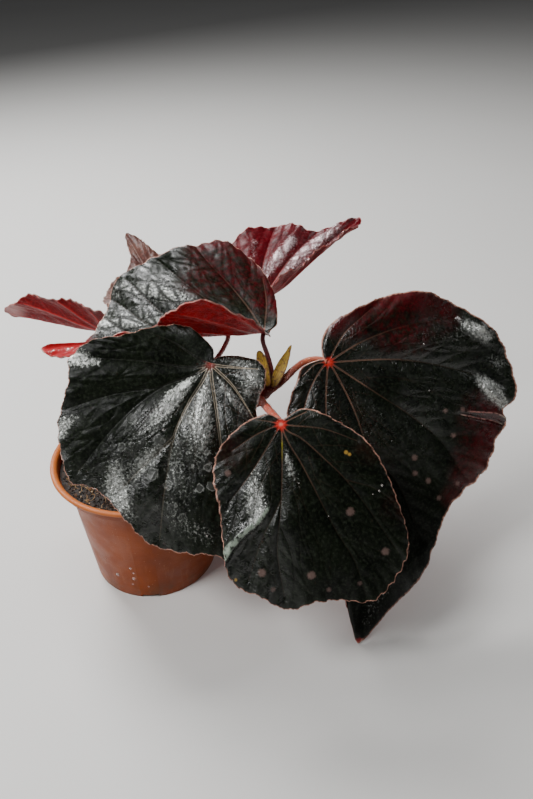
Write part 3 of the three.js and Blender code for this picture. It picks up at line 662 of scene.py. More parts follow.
def leaf_top(name, dark, second, blush, vein_colour, margin_colour, highlight_colour=PAINTED_HIGHLIGHT_TONE):
    """The upper face: cloudy dark colour, thin pale veins that redden at the junction, gloss with painted
    highlights, painted shade and a painted glow at red edges, dried drops.
    """
    coat = Coat(name, on_blade=True)
    place = coat.place
    lines = coat.group(LEAF_LINES)
    looks = ["reach", "glow", "dust", "painted_highlight", "matt", "blush", "pale"]
    reach, glow, dusty, highlight_strength, matt, blushed, pale = (coat.attribute(look) for look in looks)
    # Painted highlight: listed strokes of pale metallic colour, flecked at their edges and broken by the
    # grooves of a quilted leaf, stand in for gloss that catches the light.
    least = highlight_strength.spread(0, 1, 0.6, 0.25)
    highlight_flecks = coat.noise(place, 0.6, 3.5, 0.62).spread(least, least + 0.27)
    painted_highlight = (highlight_flecks * highlight_strength.spread(0.02, 0.3)).most(highlight_strength.spread(0.45, 1.0, 0.0, 0.85))
    quilted = lines["Groove"] * coat.attribute("quilted")
    folds = coat.noise(place, 0.42, 3.0, 0.6)
    painted_highlight = painted_highlight * (1.0 - quilted) * abs(folds - 0.6).spread(0.06, 0.0, 1.0, 0.15)
    coat.base(coat.clouds(0.05, 0.38, 0.62), dark, second)
    coat.paint(coat.clouds(0.5, 0.46, 0.66) * 0.55, tuple(3.2 * c + 0.008 for c in second))
    coat.paint(coat.clouds(0.12, 0.25, 0.58) * blushed * (coat.clouds(0.3, 0.4, 0.6) + 0.3), blush)
    # Painted glow: the red patches brighten towards the edge, as if lit through.
    coat.paint(coat.attribute("margin").spread(12, 0) * blushed * 0.6, times(2.2, blush))
    coat.paint(lines["Net"] * 0.4, times(0.35, dark))
    torn = coat.attribute("crimson") + coat.noise(place, 0.3, 4.0) * 0.8
    coat.paint(torn.spread(0.5, 1.3), CRIMSON_TIP)
    # Painted glints: brighter lines within the strong parts of the painted highlight.
    painted_glints = abs(folds - 0.48).spread(0.08, 0.0) * highlight_strength.spread(0.3, 0.9)
    coat.paint(painted_highlight * 0.8, coat.mix(painted_glints, highlight_colour, tuple(0.5 + 0.5 * c for c in highlight_colour)))
    # Painted shade: where the leaf should look unlit, its pale veins fade, and below, its gloss and bump are
    # turned down.
    shown = matt.spread(0.1, 0.7, 1, 0).most(pale.spread(0, 1, 0.4, 0.02))
    thin = reach.spread(16, 62, 0.8, 0.09) * shown
    vein_tone = coat.mix(pale, vein_colour, PALE_VEIN)
    vein_tone = coat.mix(coat.attribute("olive"), vein_tone, OLIVE_VEIN)
    vein_tone = coat.mix(glow.spread(0.05, 0.5), vein_tone, RED_VEIN)
    coat.paint(lines["Side"] * (thin * 0.28), vein_colour)
    coat.paint(lines["Main"] * thin, vein_tone)
    coat.paint(lines["Core"] * 0.85, coat.mix(glow, dark, VEIN_CORE))
    coat.paint(lines["Margin"] * coat.clouds(0.4, 0.3, 0.55), margin_colour)
    blot = coat.attribute("spot") + coat.noise(place, 0.9) * 2.2
    coat.paint(blot.spread(2.3, 0.6, 0.0, 0.5), PINK_SPOT)
    coat.paint(coat.attribute("grain").spread(0.4, -0.4, 0.0, 0.8), OCHRE_GRAIN)
    # Painted highlight along each crease's crest, pale, or red where the leaf is red.
    crest_highlight = coat.attribute("ridge").spread(1.0, 0.2) * coat.clouds(0.35, 0.36, 0.56)
    coat.paint(crest_highlight, coat.mix(blushed, PALE_CREST_HIGHLIGHT, RED_CREST_HIGHLIGHT))
    coat.paint(glow.spread(0.3, 0.9), JUNCTION_RED)
    coat.paint(reach.spread(2.0, 0.2) * glow.spread(0.7, 1, 0, 0.8), JUNCTION_CENTRE)
    marks = coat.group(WATER_MARKS, Scale=0.15, Share=0.5) * dusty
    specks = coat.dots(0.75, 0.14, 0.5) * dusty.spread(0, 1, 0.12, 1)
    coat.paint(marks * 0.75, DRIED_WATER)
    coat.paint(specks * 0.4, DUST)
    shine = coat.clouds(0.16, 0.35, 0.65).spread(0, 1, 0.22, 0.36)
    dull = (marks.most(specks) * 0.22).most(matt * 0.14)
    level = matt.spread(0, 1, 0.62, 0.08) * quilted.spread(0, 1, 1, 0.35)
    # The painted highlight also raises the gloss and makes the surface metallic.
    coat.feed(coat.skin["Specular IOR Level"], level + painted_highlight * 0.5)
    coat.feed(coat.skin["Metallic"], painted_highlight * 0.7)
    relief = lines["Relief"] * highlight_strength.spread(0, 1, 0.8, 2.4) * matt.spread(0.3, 1, 1, 0.45)
    return coat.finish(shine + dull, relief, LEAF_BUMP * MM)


def leaf_underside(name, bright, deep, vein_colour):
    coat = Coat(name, on_blade=True)
    lines = coat.group(LEAF_LINES, **{"Vein width": 0.25})
    coat.base(coat.clouds(0.09, 0.35, 0.65), bright, deep)
    # Darker towards the deep red: partly the undersides' own deep red, partly painted shade, most on the far
    # left leaf.
    coat.paint(coat.attribute("wine"), times(0.6, deep))
    coat.paint(lines["Net"] * 0.3, times(1.25, bright))
    coat.paint(lines["Side"] * 0.5, vein_colour)
    coat.paint(lines["Main"] * 0.8, vein_colour)
    coat.paint(lines["Margin"] * 0.7, (0.45, 0.16, 0.13))
    # Painted highlight: a pale pink patch near the far left leaf's tip.
    coat.paint(coat.attribute("painted_tip_highlight") * 0.8, (0.42, 0.27, 0.26))
    coat.fixed(Specular_IOR_Level=0.16, Subsurface_Weight=0.3, Subsurface_Radius=(1.0, 0.08, 0.08),
               Subsurface_Scale=0.002)
    rough = coat.clouds(0.3, 0.3, 0.7).spread(0, 1, 0.36, 0.52)
    return coat.finish(rough, lines["Relief"] * -1.0, 1.5 * LEAF_BUMP * MM)


def leaf_margin(name, pale, red):
    coat = Coat(name)
    coat.base(coat.clouds(260, 0.4, 0.6), pale, red)
    coat.paint(coat.clouds(42, 0.45, 0.6) * 0.75, (0.05, 0.014, 0.01))
    rough = coat.noise(coat.place, 900).spread(0.3, 0.7, 0.4, 0.6)
    return coat.finish(rough, coat.noise(coat.place, 1500), 0.0002)


def stem_skin(name, light, deep, fleck, fleck_share=0.5, rough=0.4, dark_root=0.0):
    """Stalk or cane: streaked along its length, with pale flecks."""
    coat = Coat(name)
    along = coat.add("UVMap", {}, uv_map="along")
    streaks = coat.noise(coat.stretched(along, 34, 90, 1), 1.0, 4.0, 0.6)
    coat.base(streaks.spread(0.38, 0.62), light, deep)
    coat.paint(coat.clouds(130, 0.42, 0.64) * 0.6, deep)
    from_root = coat.add("SeparateXYZ", {"Vector": along})
    coat.paint(from_root.spread(0.4, 0.8, dark_root, 0), times(0.55, deep))
    specks = coat.dots(900, 0.34, fleck_share)
    coat.paint(specks * 0.8, fleck)
    coat.fixed(Subsurface_Weight=0.2, Subsurface_Radius=(1.0, 0.2, 0.15), Subsurface_Scale=0.0015)
    return coat.finish(streaks.spread(0.3, 0.7, rough - 0.06, rough + 0.1), streaks + specks * 0.6, 0.00025)


def stipule_skin():
    coat = Coat("stipule", on_blade=True)
    streaks = coat.noise(coat.stretched(coat.place, 0.25, 1.6, 1), 1.0, 4.0, 0.65)
    coat.base(streaks.spread(0.35, 0.65), (0.46, 0.29, 0.022), (0.26, 0.155, 0.014))
    coat.paint(coat.clouds(0.45, 0.52, 0.62) * 0.85, (0.11, 0.035, 0.012))
    coat.paint(coat.attribute("margin").spread(1.0, 0.1), (0.2, 0.09, 0.03))
    return coat.finish(streaks.spread(0.3, 0.7, 0.45, 0.65), streaks, 0.0003)


def pot_plastic():
    """Terracotta coloured plastic: a lip painted paler as a painted highlight, faint upright runs, darker
    towards the foot, and dust.
    """
    coat = Coat("pot plastic")
    height = coat.add("SeparateXYZ", {"Vector": coat.place}, "Z")
    coat.base(coat.clouds(22, 0.35, 0.65), (0.28, 0.052, 0.002), (0.205, 0.034, 0.0015))
    # Painted highlight: the top of the lip is paler, as if lit from above.
    coat.paint(height.spread(0.0885, 0.0905) * 0.5, (0.62, 0.2, 0.05))
    runs = coat.noise(coat.stretched(coat.place, 420, 420, 26), 1.0)
    coat.paint(runs.spread(0.56, 0.75, 0.0, 0.12), (0.6, 0.25, 0.1))
    # Darker towards the foot.
    darker_foot = height.spread(0.022, 0.0) * coat.clouds(90, 0.45, 0.62)
    coat.paint(darker_foot * 0.5, (0.12, 0.06, 0.03))
    coat.paint(coat.dots(420, 0.22, 0.16) * 0.2, (0.6, 0.35, 0.2))
    coat.fixed(Specular_IOR_Level=0.2, Subsurface_Weight=0.12, Subsurface_Radius=(1.0, 0.3, 0.1),
               Subsurface_Scale=0.003)
    rings = coat.noise(coat.stretched(coat.place, 30, 30, 700), 1.0, 2.0)
    relief = coat.noise(coat.place, 2600, 2.0) + rings * 0.7
    return coat.finish(coat.clouds(60, 0.3, 0.7).spread(0, 1, 0.36, 0.5), relief, 0.00006)


def soil_material(name, dark, light, scale):
    coat = Coat(name)
    lumps = coat.clouds(scale, 0.4, 0.65)
    coat.base(lumps, dark, light)
    coat.paint(coat.dots(scale * 3.4, 0.3, 0.25) * 0.7, times(2.2, light))
    return coat.finish(lumps.spread(0, 1, 0.7, 0.95), coat.noise(coat.place, scale * 4, 5.0, 0.7), 0.0006)


def water():
    coat = Coat("water")
    # Painted highlight: the drops are partly opaque white, so that they show as bright specks.
    coat.fixed(Base_Color=(1, 0.92, 0.86, 1), Transmission_Weight=0.75, IOR=1.33)
    coat.feed(coat.skin["Roughness"], coat.noise(coat.place, 800).spread(0.3, 0.7, 0.0, 0.04))
    return coat.material


TOPS = {
    "black": leaf_top("black leaf", (0.002, 0.003, 0.0015), (0.005, 0.0072, 0.0034), (0.055, 0.0022, 0.004),
                      (0.2, 0.11, 0.075), (0.45, 0.23, 0.17)),
    # The maroon leaf's last tone is its painted highlight, a pinkish white.
    "maroon": leaf_top("maroon leaf", (0.1, 0.0014, 0.005), (0.045, 0.0014, 0.003), (0.16, 0.004, 0.01),
                       (0.42, 0.1, 0.085), (0.5, 0.1, 0.08), (0.62, 0.46, 0.47)),
    "faded": leaf_top("faded leaf", (0.105, 0.048, 0.034), (0.055, 0.02, 0.016), (0.16, 0.02, 0.02),
                      (0.2, 0.12, 0.085), (0.34, 0.22, 0.17)),
}
UNDERSIDE = leaf_underside("leaf underside", (0.36, 0.0022, 0.007), (0.17, 0.0018, 0.004),
                           (0.45, 0.014, 0.014))
MARGIN = leaf_margin("leaf margin", (0.5, 0.27, 0.22), (0.4, 0.05, 0.04))
STALKS = {
    "red": stem_skin("red stalk", (0.48, 0.03, 0.024), (0.28, 0.016, 0.015), (0.6, 0.18, 0.13), 0.3),
    "maroon": stem_skin("maroon stalk", (0.2, 0.015, 0.017), (0.09, 0.009, 0.011), (0.4, 0.13, 0.11), 0.3),
    "orange": stem_skin("orange stalk", (0.6, 0.17, 0.06), (0.3, 0.045, 0.02), (0.75, 0.5, 0.4),
                        dark_root=0.85),
    "salmon": stem_skin("salmon stalk", (0.85, 0.2, 0.11), (0.62, 0.08, 0.05), (0.95, 0.62, 0.5), 0.75),
}
HAIR = stem_skin("stem hair", (0.75, 0.42, 0.36), (0.6, 0.25, 0.2), (0.85, 0.7, 0.62), 0.3)
CANE = stem_skin("cane", (0.24, 0.085, 0.035), (0.11, 0.03, 0.018), (0.42, 0.26, 0.13), 0.4, 0.5)
STIPULE = stipule_skin()
DARK_SOIL = soil_material("potting soil", (0.009, 0.006, 0.004), (0.034, 0.02, 0.012), 320)
BARK = soil_material("bark", (0.07, 0.03, 0.012), (0.16, 0.07, 0.025), 200)
GRANULE = soil_material("granule", (0.55, 0.42, 0.28), (0.36, 0.22, 0.11), 400)
FIBRE = soil_material("fibre", (0.38, 0.24, 0.1), (0.22, 0.12, 0.045), 300)


# Curves
def hermite(a, b, start, end, t):
    t = t[:, None]
    return (2 * t**3 - 3 * t**2 + 1) * a + (t**3 - 2 * t**2 + t) * start \
        + (3 * t**2 - 2 * t**3) * b + (t**3 - t**2) * end


def smooth_line(points, closed=False, centripetal=True, dense=40):
    """A Catmull-Rom curve through the points, finely sampled."""
    points = np.asarray(points, float)
    if closed:
        knots = np.vstack([points[-1], points, points[0], points[1]])
    else:
        knots = np.vstack([2 * points[0] - points[1], points, 2 * points[-1] - points[-2]])
    t = np.arange(dense) / dense
    pieces = []
    for a, b, c, d in zip(knots[:-3], knots[1:-2], knots[2:-1], knots[3:]):
        if centripetal:
            before, between, after = (math.sqrt(np.linalg.norm(q - p)) for p, q in ((a, b), (b, c), (c, d)))
            start = between * ((b - a) / before - (c - a) / (before + between) + (c - b) / between)
            end = between * ((c - b) / between - (d - b) / (between + after) + (d - c) / after)
        else:
            start, end = (c - a) / 2, (d - b) / 2
        pieces.append(hermite(b, c, start, end, t))
    return np.vstack(pieces + [points[:1] if closed else points[-1:]])


def strides(line):
    """The length of each step along a line."""
    return np.linalg.norm(np.diff(line, axis=0), axis=1)


def spaced(line, count):
    """Points at equal steps along a line."""
    steps = np.concatenate([[0], np.cumsum(strides(line))])
    at = np.linspace(0, steps[-1], count)
    return np.stack([np.interp(at, steps, line[:, k]) for k in range(line.shape[1])], -1)


def polar(pairs):
    pairs = np.asarray(pairs, float)
    angles = np.radians(pairs[:, 0])
    return np.stack([pairs[:, 1] * np.cos(angles), pairs[:, 1] * np.sin(angles)], -1)


def ease(value, low, high):
    t = np.clip((value - low) / (high - low), 0, 1)
    return t * t * (3 - 2 * t)


def bell(value, width):
    return np.exp(-((value / width) ** 2))


def nearest(points, samples):
    """For each point, the number of the nearest sample and the distance to it."""
    tree = KDTree(len(samples))
    for i, sample in enumerate(samples):
        tree.insert((sample[0], sample[1], 0), i)
    tree.balance()
    found = [tree.find((x, y, 0)) for x, y in points]
    return np.array([i for _, i, _ in found]), np.array([distance for _, _, distance in found])


def away_from(flat, degrees, distance):
    """The distance of each point of the blade from one place on it."""
    return np.linalg.norm(flat - polar([[degrees, distance]])[0], axis=1)


# The blade's surface, as in the model
def bend(points, start, across, degrees, radius):
    """Turns all that lies beyond an axis through a smooth bend; positive degrees raise it."""
    past = (points[:, 0] - start[0]) * across[0] + (points[:, 1] - start[1]) * across[1]
    sign = np.sign(degrees)
    full = np.radians(np.abs(degrees))
    height = points[:, 2] * sign
    angle = np.minimum(past / radius, full)
    beyond = np.maximum(0, past - radius * full)
    reach = (radius - height) * np.sin(angle) + beyond * np.cos(angle)
    rise = radius - (radius - height) * np.cos(angle) + beyond * np.sin(angle)
    turns = (past > 0) & (degrees != 0)
    points[:, 0] += np.where(turns, (reach - past) * across[0], 0)
    points[:, 1] += np.where(turns, (reach - past) * across[1], 0)
    points[:, 2] = np.where(turns, rise * sign, points[:, 2])


def surface(leaf, x, y, share, turn, lift):
    wave_height, waves = leaf.get("wave", [0, 0])
    ripple = wave_height * share**EDGE_WAVE_POWER * np.sin(2 * np.pi * waves * turn)
    droop = leaf.get("dome", 0) * (x * x + y * y) / DOME_REACH**2
    points = np.stack([x, y, ripple - droop + lift], -1)
    fold = leaf.get("fold", {})
    towards_tip = ease(x, *fold.get("between", [0, 1]))
    for side, across in (("left", 1), ("right", -1)):
        at_root, at_tip = fold.get(side, [0, 0])
        bend(points, (0, 0), (0, across), at_root + (at_tip - at_root) * towards_tip, FOLD_RADIUS)
    curl, curl_from, curl_radius = leaf.get("curl", [0, 0, 1])
    bend(points, (curl_from, 0), (1, 0), np.full(len(x), float(curl)), curl_radius)
    return points


def blade_axes(leaf):
    junction = np.array(leaf["junction"], float)
    along = np.array(leaf["tip"], float) - junction
    along /= np.linalg.norm(along)
    up = np.array(leaf["facing"], float)
    up -= (up @ along) * along
    up /= np.linalg.norm(up)
    return junction, np.stack([along, np.cross(up, along), up])


def toothed_edge(leaf, rim, broad_teeth):
    """The blade's edge, with the model's broad teeth and a fine saw of small ones, which point to the tip."""
    line = spaced(smooth_line(polar(leaf["outline"]), closed=True, centripetal=False), rim + 1)[:rim]
    radius = np.linalg.norm(line, axis=1)
    turn = np.arange(rim) / rim
    broad = 1 - np.abs(2 * np.mod(turn * broad_teeth / 2, 1) - 1)
    length = np.linalg.norm(np.roll(line, -1, 0) - line, axis=1).sum()
    count = round(length / leaf.get("tooth_spacing", SMALL_TOOTH_SPACING))
    tip = np.argmax(line[:, 0]) / rim
    phase = np.mod(turn * count + 0.35 * np.sin(2 * np.pi * turn * 7), 1)
    saw = np.where(turn < tip, phase, 1 - phase) ** 1.5
    uneven = 0.65 + 0.35 * np.sin(2 * np.pi * turn * 23 + 1.3) * np.cos(2 * np.pi * turn * 11)
    grown = radius + ease(radius, *TOOTHED_FROM) * (TOOTH * broad + SMALL_TOOTH * (saw - 0.5) * uneven)
    return line * (grown / radius)[:, None], grown


def gap_to(points, lines, widths):
    """Distance from each point to the side of the nearest line; a half width runs from first to last."""
    samples = []
    for line in lines:
        dense = spaced(line, max(3, round(strides(line).sum() / LINE_STEP)))
        samples.append(np.column_stack([dense, np.linspace(*widths, len(dense))]))
    samples = np.vstack(samples)
    index, distance = nearest(points, samples)
    return distance - samples[index, 2]


def main_vein(pairs):
    """A vein that the leaf's own list gives; it starts at the junction unless it forks from another."""
    points = polar(pairs)
    if pairs[0][1] < FORKS_FROM:
        points = np.vstack([[0, 0], points])
    return spaced(smooth_line(points, dense=LINE_DENSITY), VEIN_POINTS)


def side_veins(mains, edge):
    """Side veins leave each main vein left and right by turns, for the edge or the next main vein."""
    edge_angle = np.arctan2(edge[:, 1], edge[:, 0])
    order = np.argsort(edge_angle)
    edge_angle, edge_radius = edge_angle[order], np.linalg.norm(edge[order], axis=1)
    everything = np.vstack(mains)
    owner = np.repeat(np.arange(len(mains)), len(mains[0]))
    sides = []
    for k, main in enumerate(mains):
        others = everything[owner != k]
        length = strides(main).sum()
        line = spaced(main, max(3, int(length)))
        side = 1
        at = SIDE_VEIN_START
        while at < length - 5:
            i = min(int(at), len(line) - 2)
            ahead = line[i + 1] - line[i]
            angle = SIDE_VEIN_ANGLE + 0.15 * math.sin(5 * k + at / 3)
            heading = math.atan2(ahead[1], ahead[0]) + side * angle
            point = line[i].copy()
            path = [point.copy()]
            for _ in range(SIDE_VEIN_STEPS):
                heading -= side * SIDE_VEIN_CURVE + 0.1 * math.sin(len(path) * 1.3 + at)
                point = point + SIDE_VEIN_STEP * np.array([math.cos(heading), math.sin(heading)])
                limit = np.interp(math.atan2(point[1], point[0]), edge_angle, edge_radius, period=2 * math.pi)
                if np.hypot(*point) > limit * SIDE_VEIN_END:
                    break
                path.append(point.copy())
                if len(path) > 3 and np.linalg.norm(others - point, axis=1).min() < SIDE_VEIN_CLEARANCE:
                    break
            if len(path) > 3:
                sides.append(np.array(path))
            at += SIDE_VEIN_SPACING[side < 0] * (1 + 0.25 * math.sin(3 * k + at))
            side = -side
    return sides


def gap_to_dots(flat, rows):
    """Distance from each point to the rim of the nearest dot: an angle, a distance and a width each."""
    gap = np.full(len(flat), FAR_OFF)
    for degrees, distance, size in rows:
        gap = np.minimum(gap, away_from(flat, degrees, distance) - size / 2)
    return gap


def patches(flat, rows):
    """Soft round patches: each row is an angle, a distance from the junction, a radius and a strength."""
    strength = np.zeros(len(flat))
    for degrees, distance, size, most in rows:
        away = away_from(flat, degrees, distance)
        strength = np.maximum(strength, most * ease(away, size * 1.25, size * 0.4))
    return strength


def streaks(flat, rows):
    """Soft strokes: each row is a line of points, each an angle, a distance, a half width and a strength."""
    strength = np.zeros(len(flat))
    for row in rows:
        row = np.array(row, float)
        line = smooth_line(np.column_stack([polar(row[:, :2]), row[:, 2:]]), dense=LINE_DENSITY)
        line = spaced(line, STREAK_POINTS)
        index, away = nearest(flat, line)
        strength = np.maximum(strength, line[index, 3] * ease(away / line[index, 2], 1.8, 0))
    return strength


def ring_faces(counts):
    """Faces between a centre point and rings, each with as many points as the last or twice as many."""
    starts = np.concatenate([[1], 1 + np.cumsum(counts[:-1])]).astype(int)
    faces = [(0, 1 + i, 1 + (i + 1) % counts[0]) for i in range(counts[0])]
    for k in range(1, len(counts)):
        inner, outer = counts[k - 1], counts[k]
        for i in range(inner):
            a, b = starts[k - 1] + i, starts[k - 1] + (i + 1) % inner
            if outer == inner:
                faces.append((a, starts[k] + i, starts[k] + (i + 1) % outer, b))
            else:
                p, q, r = (starts[k] + (2 * i + n) % outer for n in range(3))
                faces += [(a, p, q), (a, q, b), (b, q, r)]
    return faces


def leaf_relief(leaf, flat, edge, share, turn, reach):
    """The height of a leaf's pleats, quilting, swells and creases, and the looks that its skin reads."""
    x, y = flat.T
    mains = [main_vein(pairs) for pairs in leaf["veins"]]
    vein = gap_to(flat, mains, leaf.get("vein_widths", VEIN_WIDTHS))
    side_vein = gap_to(flat, side_veins(mains, edge), SIDE_VEIN_WIDTHS)
    puffed = ease(reach, 2, 26) * (1 - 0.5 * share**6)
    outer = 0.3 + 0.7 * ease(reach, 12, 60)
    near_vein = np.maximum(np.minimum(vein, side_vein), 0)
    frill = np.sin(2 * np.pi * turn * FRILLS + 1.7 * np.sin(2 * np.pi * turn * 5))
    lumps = np.sin(x / 1.9 + np.sin(y / 2.3)) * np.sin(y / 1.7 + x / 5)
    lift = BLADE / 2 + PLEAT * puffed * (0.5 - np.exp(-np.maximum(vein, 0) / PLEAT_WIDTH))
    lift += QUILT * puffed * outer * (0.5 - np.exp(-near_vein / QUILT_WIDTH))
    lift -= MARGIN_DROOP * share**7
    lift += MARGIN_FRILL * share**14 * frill
    lift += LUMP * outer * lumps
    for degrees, distance, size, height in leaf.get("swells", []):
        lift += height * bell(away_from(flat, degrees, distance), size)
    ridge = np.full(len(flat), FAR_OFF)
    for crease in leaf.get("ridges", []):
        line = smooth_line(polar(crease["line"]), dense=LINE_DENSITY)
        gap = gap_to(flat, [line], crease.get("flat", [0.1, 0.1]))
        lift += crease["height"] * bell(np.maximum(gap, 0), crease["width"])
        # How far the painted highlight along a crest reaches.
        ridge = np.minimum(ridge, gap / crease["shown"])
    glow, glow_reach = leaf.get("glow", [0.6, 6])
    # The listed strokes become the painted highlight.
    looks = {"vein": vein, "side_vein": side_vein, "ridge": ridge, "glow": glow * bell(reach, glow_reach),
             "painted_highlight": streaks(flat, leaf.get("painted_highlight", []))}
    for look, rows in (("spot", "spots"), ("grain", "grains")):
        looks[look] = gap_to_dots(flat, leaf.get(rows, []))
    # Among these patches, the dull ones paint shade.
    for look in ("blush", "dust", "matt", "crimson", "olive", "painted_tip_highlight"):
        looks[look] = patches(flat, leaf.get(look, []))
    # The underside's darkening is partly its own deep red, partly painted shade.
    for look, usual in (("pale", 0), ("quilted", 0.3), ("wine", 0.6)):
        looks[look] = np.full(len(flat), leaf.get(look, usual))
    return lift, looks


# Drops of water: centre, the way that each stands out, radius
DROPS = []


def blade(leaf, name, size, slot, materials, node, thickness=BLADE):
    rim, broad_teeth, rings = size
    edge, radii = toothed_edge(leaf, rim, broad_teeth)
    shares = (np.arange(1, rings + 1) / rings) ** 0.9
    steps = [next((step for limit, step in RING_STRIDES if s < limit), 1) for s in shares]
    counts = [rim // step for step in steps]
    index = np.concatenate([[0]] + [np.arange(0, rim, step) for step in steps])
    share = np.concatenate([[0]] + [np.full(count, s) for count, s in zip(counts, shares)])
    flat = edge[index] * share[:, None]
    turn = index / rim
    reach = np.hypot(flat[:, 0], flat[:, 1])
    near, far = leaf.get("margin_width", [1, 1])
    margin = (1 - share) * radii[index] / (near + (far - near) * ease(reach, 50, 90))
    lift = thickness / 2
    looks = {}
    if "veins" in leaf:
        lift, looks = leaf_relief(leaf, flat, edge, share, turn, reach)
    origin, axes = blade_axes(leaf)
    placed = origin + surface(leaf, flat[:, 0], flat[:, 1], share, turn, lift) @ axes
    for degrees, distance, radius in leaf.get("drops", []):
        at = np.argmin(away_from(flat, degrees, distance))
        DROPS.append((placed[at] + 0.2 * radius * axes[2], axes[2], radius))
    obj = mesh_piece(name, placed, ring_faces(counts))
    mesh = obj.data
    for look, values in {"margin": margin, "reach": reach, **looks}.items():
        layer = mesh.attributes.new(look, "FLOAT", "POINT")
        layer.data.foreach_set("value", np.asarray(values, np.float32))
    corners = np.zeros(len(mesh.loops), int)
    mesh.loops.foreach_get("vertex_index", corners)
    uv = mesh.uv_layers.new(name="flat")
    uv.data.foreach_set("uv", ((flat[corners] + UV_SHIFT) / UV_SIZE).astype(np.float32).ravel())
    shell = obj.modifiers.new("thickness", "SOLIDIFY")
    shell.thickness = thickness * MM
    shell.offset = -1
    shell.material_offset = 1
    shell.material_offset_rim = 2
    dress(obj, slot, materials, node)
    apply_modifiers(obj)
    place_underside(obj.data)
    smooth(obj, 60)


def place_underside(mesh):
    """Sets the underside's flat map beside the upper face's, so that the two don't overlap."""
    uv = mesh.uv_layers["flat"]
    for polygon in mesh.polygons:
        if polygon.material_index > 0:
            for corner in polygon.loop_indices:
                uv.data[corner].uv.x += 0.5


# Stems
def wall_faces(start, rings, sides):
    """Faces between rings of points that follow each other from a first point on."""
    faces = []
    for ring in range(start, start + (rings - 1) * sides, sides):
        for k in range(sides):
            a, b = ring + k, ring + (k + 1) % sides
            faces.append((a, b, b + sides, a + sides))
    return faces


def tube(name, line, radii, sides):
    """A closed round tube along a line of points, with its length and girth as its map."""
    count = len(line)
    ahead = np.gradient(line, axis=0)
    ahead /= np.linalg.norm(ahead, axis=1)[:, None]
    across = np.cross(ahead[0], [0.3, 0.9, 0.2])
    points = []
    for i in range(count):
        across -= (across @ ahead[i]) * ahead[i]
        across /= np.linalg.norm(across)
        other = np.cross(ahead[i], across)
        for k in range(sides):
            angle = 2 * math.pi * k / sides
            points.append(line[i] + radii[i] * (math.cos(angle) * across + math.sin(angle) * other))
    points += [line[0] - ahead[0] * radii[0] * 0.1, line[-1] + ahead[-1] * radii[-1] * 0.1]
    last = (count - 1) * sides
    faces = wall_faces(0, count, sides)
    for k in range(sides):
        faces.append(((k + 1) % sides, k, count * sides))
        faces.append((last + k, last + (k + 1) % sides, count * sides + 1))
    obj = mesh_piece(name, points, faces)
    uv = obj.data.uv_layers.new(name="along")
    for polygon in obj.data.polygons:
        for corner, vertex in zip(polygon.loop_indices, polygon.vertices):
            ring, k = divmod(min(vertex, last + sides - 1), sides)
            uv.data[corner].uv = (ring / count, abs(2 * k / sides - 1))
    smooth(obj, 60)
    return obj


def hairs(name, line, radii, count):
    """Short fine hairs that stand out of a stem."""
    ahead = np.gradient(line, axis=0)
    points, faces = [], []
    for _ in range(count):
        i = dice.integers(1, len(line) - 1)
        out = dice.normal(size=3)
        out -= (out @ ahead[i]) * ahead[i] / (ahead[i] @ ahead[i])
        out /= np.linalg.norm(out)
        root = line[i] + ahead[i] * dice.uniform(-0.5, 0.5) + out * radii[i] * 0.97
        along = ahead[i] / np.linalg.norm(ahead[i])
        side = np.cross(out, along)
        tip = root + (out + 0.35 * dice.normal(size=3)) * HAIR_LENGTH * dice.uniform(0.5, 1)
        a, b, c, d = range(len(points), len(points) + 4)
        for k in range(3):
            angle = 2 * math.pi * k / 3
            points.append(root + HAIR_RADIUS * (math.cos(angle) * side + math.sin(angle) * along))
        points.append(tip)
        faces += [(a, b, c), (a, d, b), (b, d, c), (c, d, a)]
    return mesh_piece(name, points, faces)


def stalk(leaf):
    thick, thin = leaf["stalk"]
    line = smooth_line(leaf["route"] + [leaf["junction"]])
    length = strides(line).sum()
    line = spaced(line, max(24, round(length)))
    line[-1] = line[-2] + (line[-1] - line[-2]) * 0.3
    share = np.linspace(0, 1, len(line))
    radii = thick + (thin - thick) * share
    foot, foot_width = FOOT_SWELL
    neck, neck_width = NECK_SWELL
    radii = radii * (1 + foot * bell(share, foot_width) + neck * bell(share - 1, neck_width))
    radii = radii * (1 + 0.03 * np.sin(share * 47) * np.sin(share * 19))
    obj = tube("leaf_stalk_" + leaf["name"], line, radii, STALK_SIDES)
    dress(obj, "leaf_stalk", [STALKS[leaf["stalk_skin"]]], "stalk_" + leaf["name"])
    fuzz = hairs("stalk_hairs_" + leaf["name"], line[3:-2], radii[3:-2], round(length * HAIRS_PER_MM))
    dress(fuzz, "leaf_stalk", [HAIR])


def cane(name, points):
    line = spaced(smooth_line(points), CANE_RINGS)
    share = np.linspace(0, 1, CANE_RINGS)
    swell = sum(np.exp(-(((share - node) * NODE_SHARPNESS) ** 2)) for node in NODE_SHARES)
    scars = sum(np.exp(-(((share - node - SCAR_PAST_NODE) * SCAR_SHARPNESS) ** 2)) for node in NODE_SHARES)
    radii = CANE_RADIUS + (CANE_TIP_RADIUS - CANE_RADIUS) * share
    radii = radii * (1 + NODE_SWELL * swell) - SCAR_DEPTH * scars
    radii = radii * (1 + 0.02 * np.sin(share * 90))
    radii[-len(CANE_END):] *= CANE_END
    dress(tube(name + "_skin", line, radii, CANE_SIDES), "cane", [CANE], name)


for row in LEAVES:
    coats = [TOPS[row.get("tint", row["skin"])], UNDERSIDE, MARGIN]
    blade(row, "leaf_" + row["name"], BLADE_SIZES[row["skin"]], row["skin"] + "_leaf", coats,
          "blade_" + row["name"])
    stalk(row)
for cane_name, cane_points in CANES.items():
    cane(cane_name, cane_points)
for row in STIPULES:
    blade({**STIPULE_SHAPE, **row}, row["name"] + "_scale", BLADE_SIZES["stipule"], "stipule", [STIPULE] * 3,
          row["name"], STIPULE_THICKNESS)


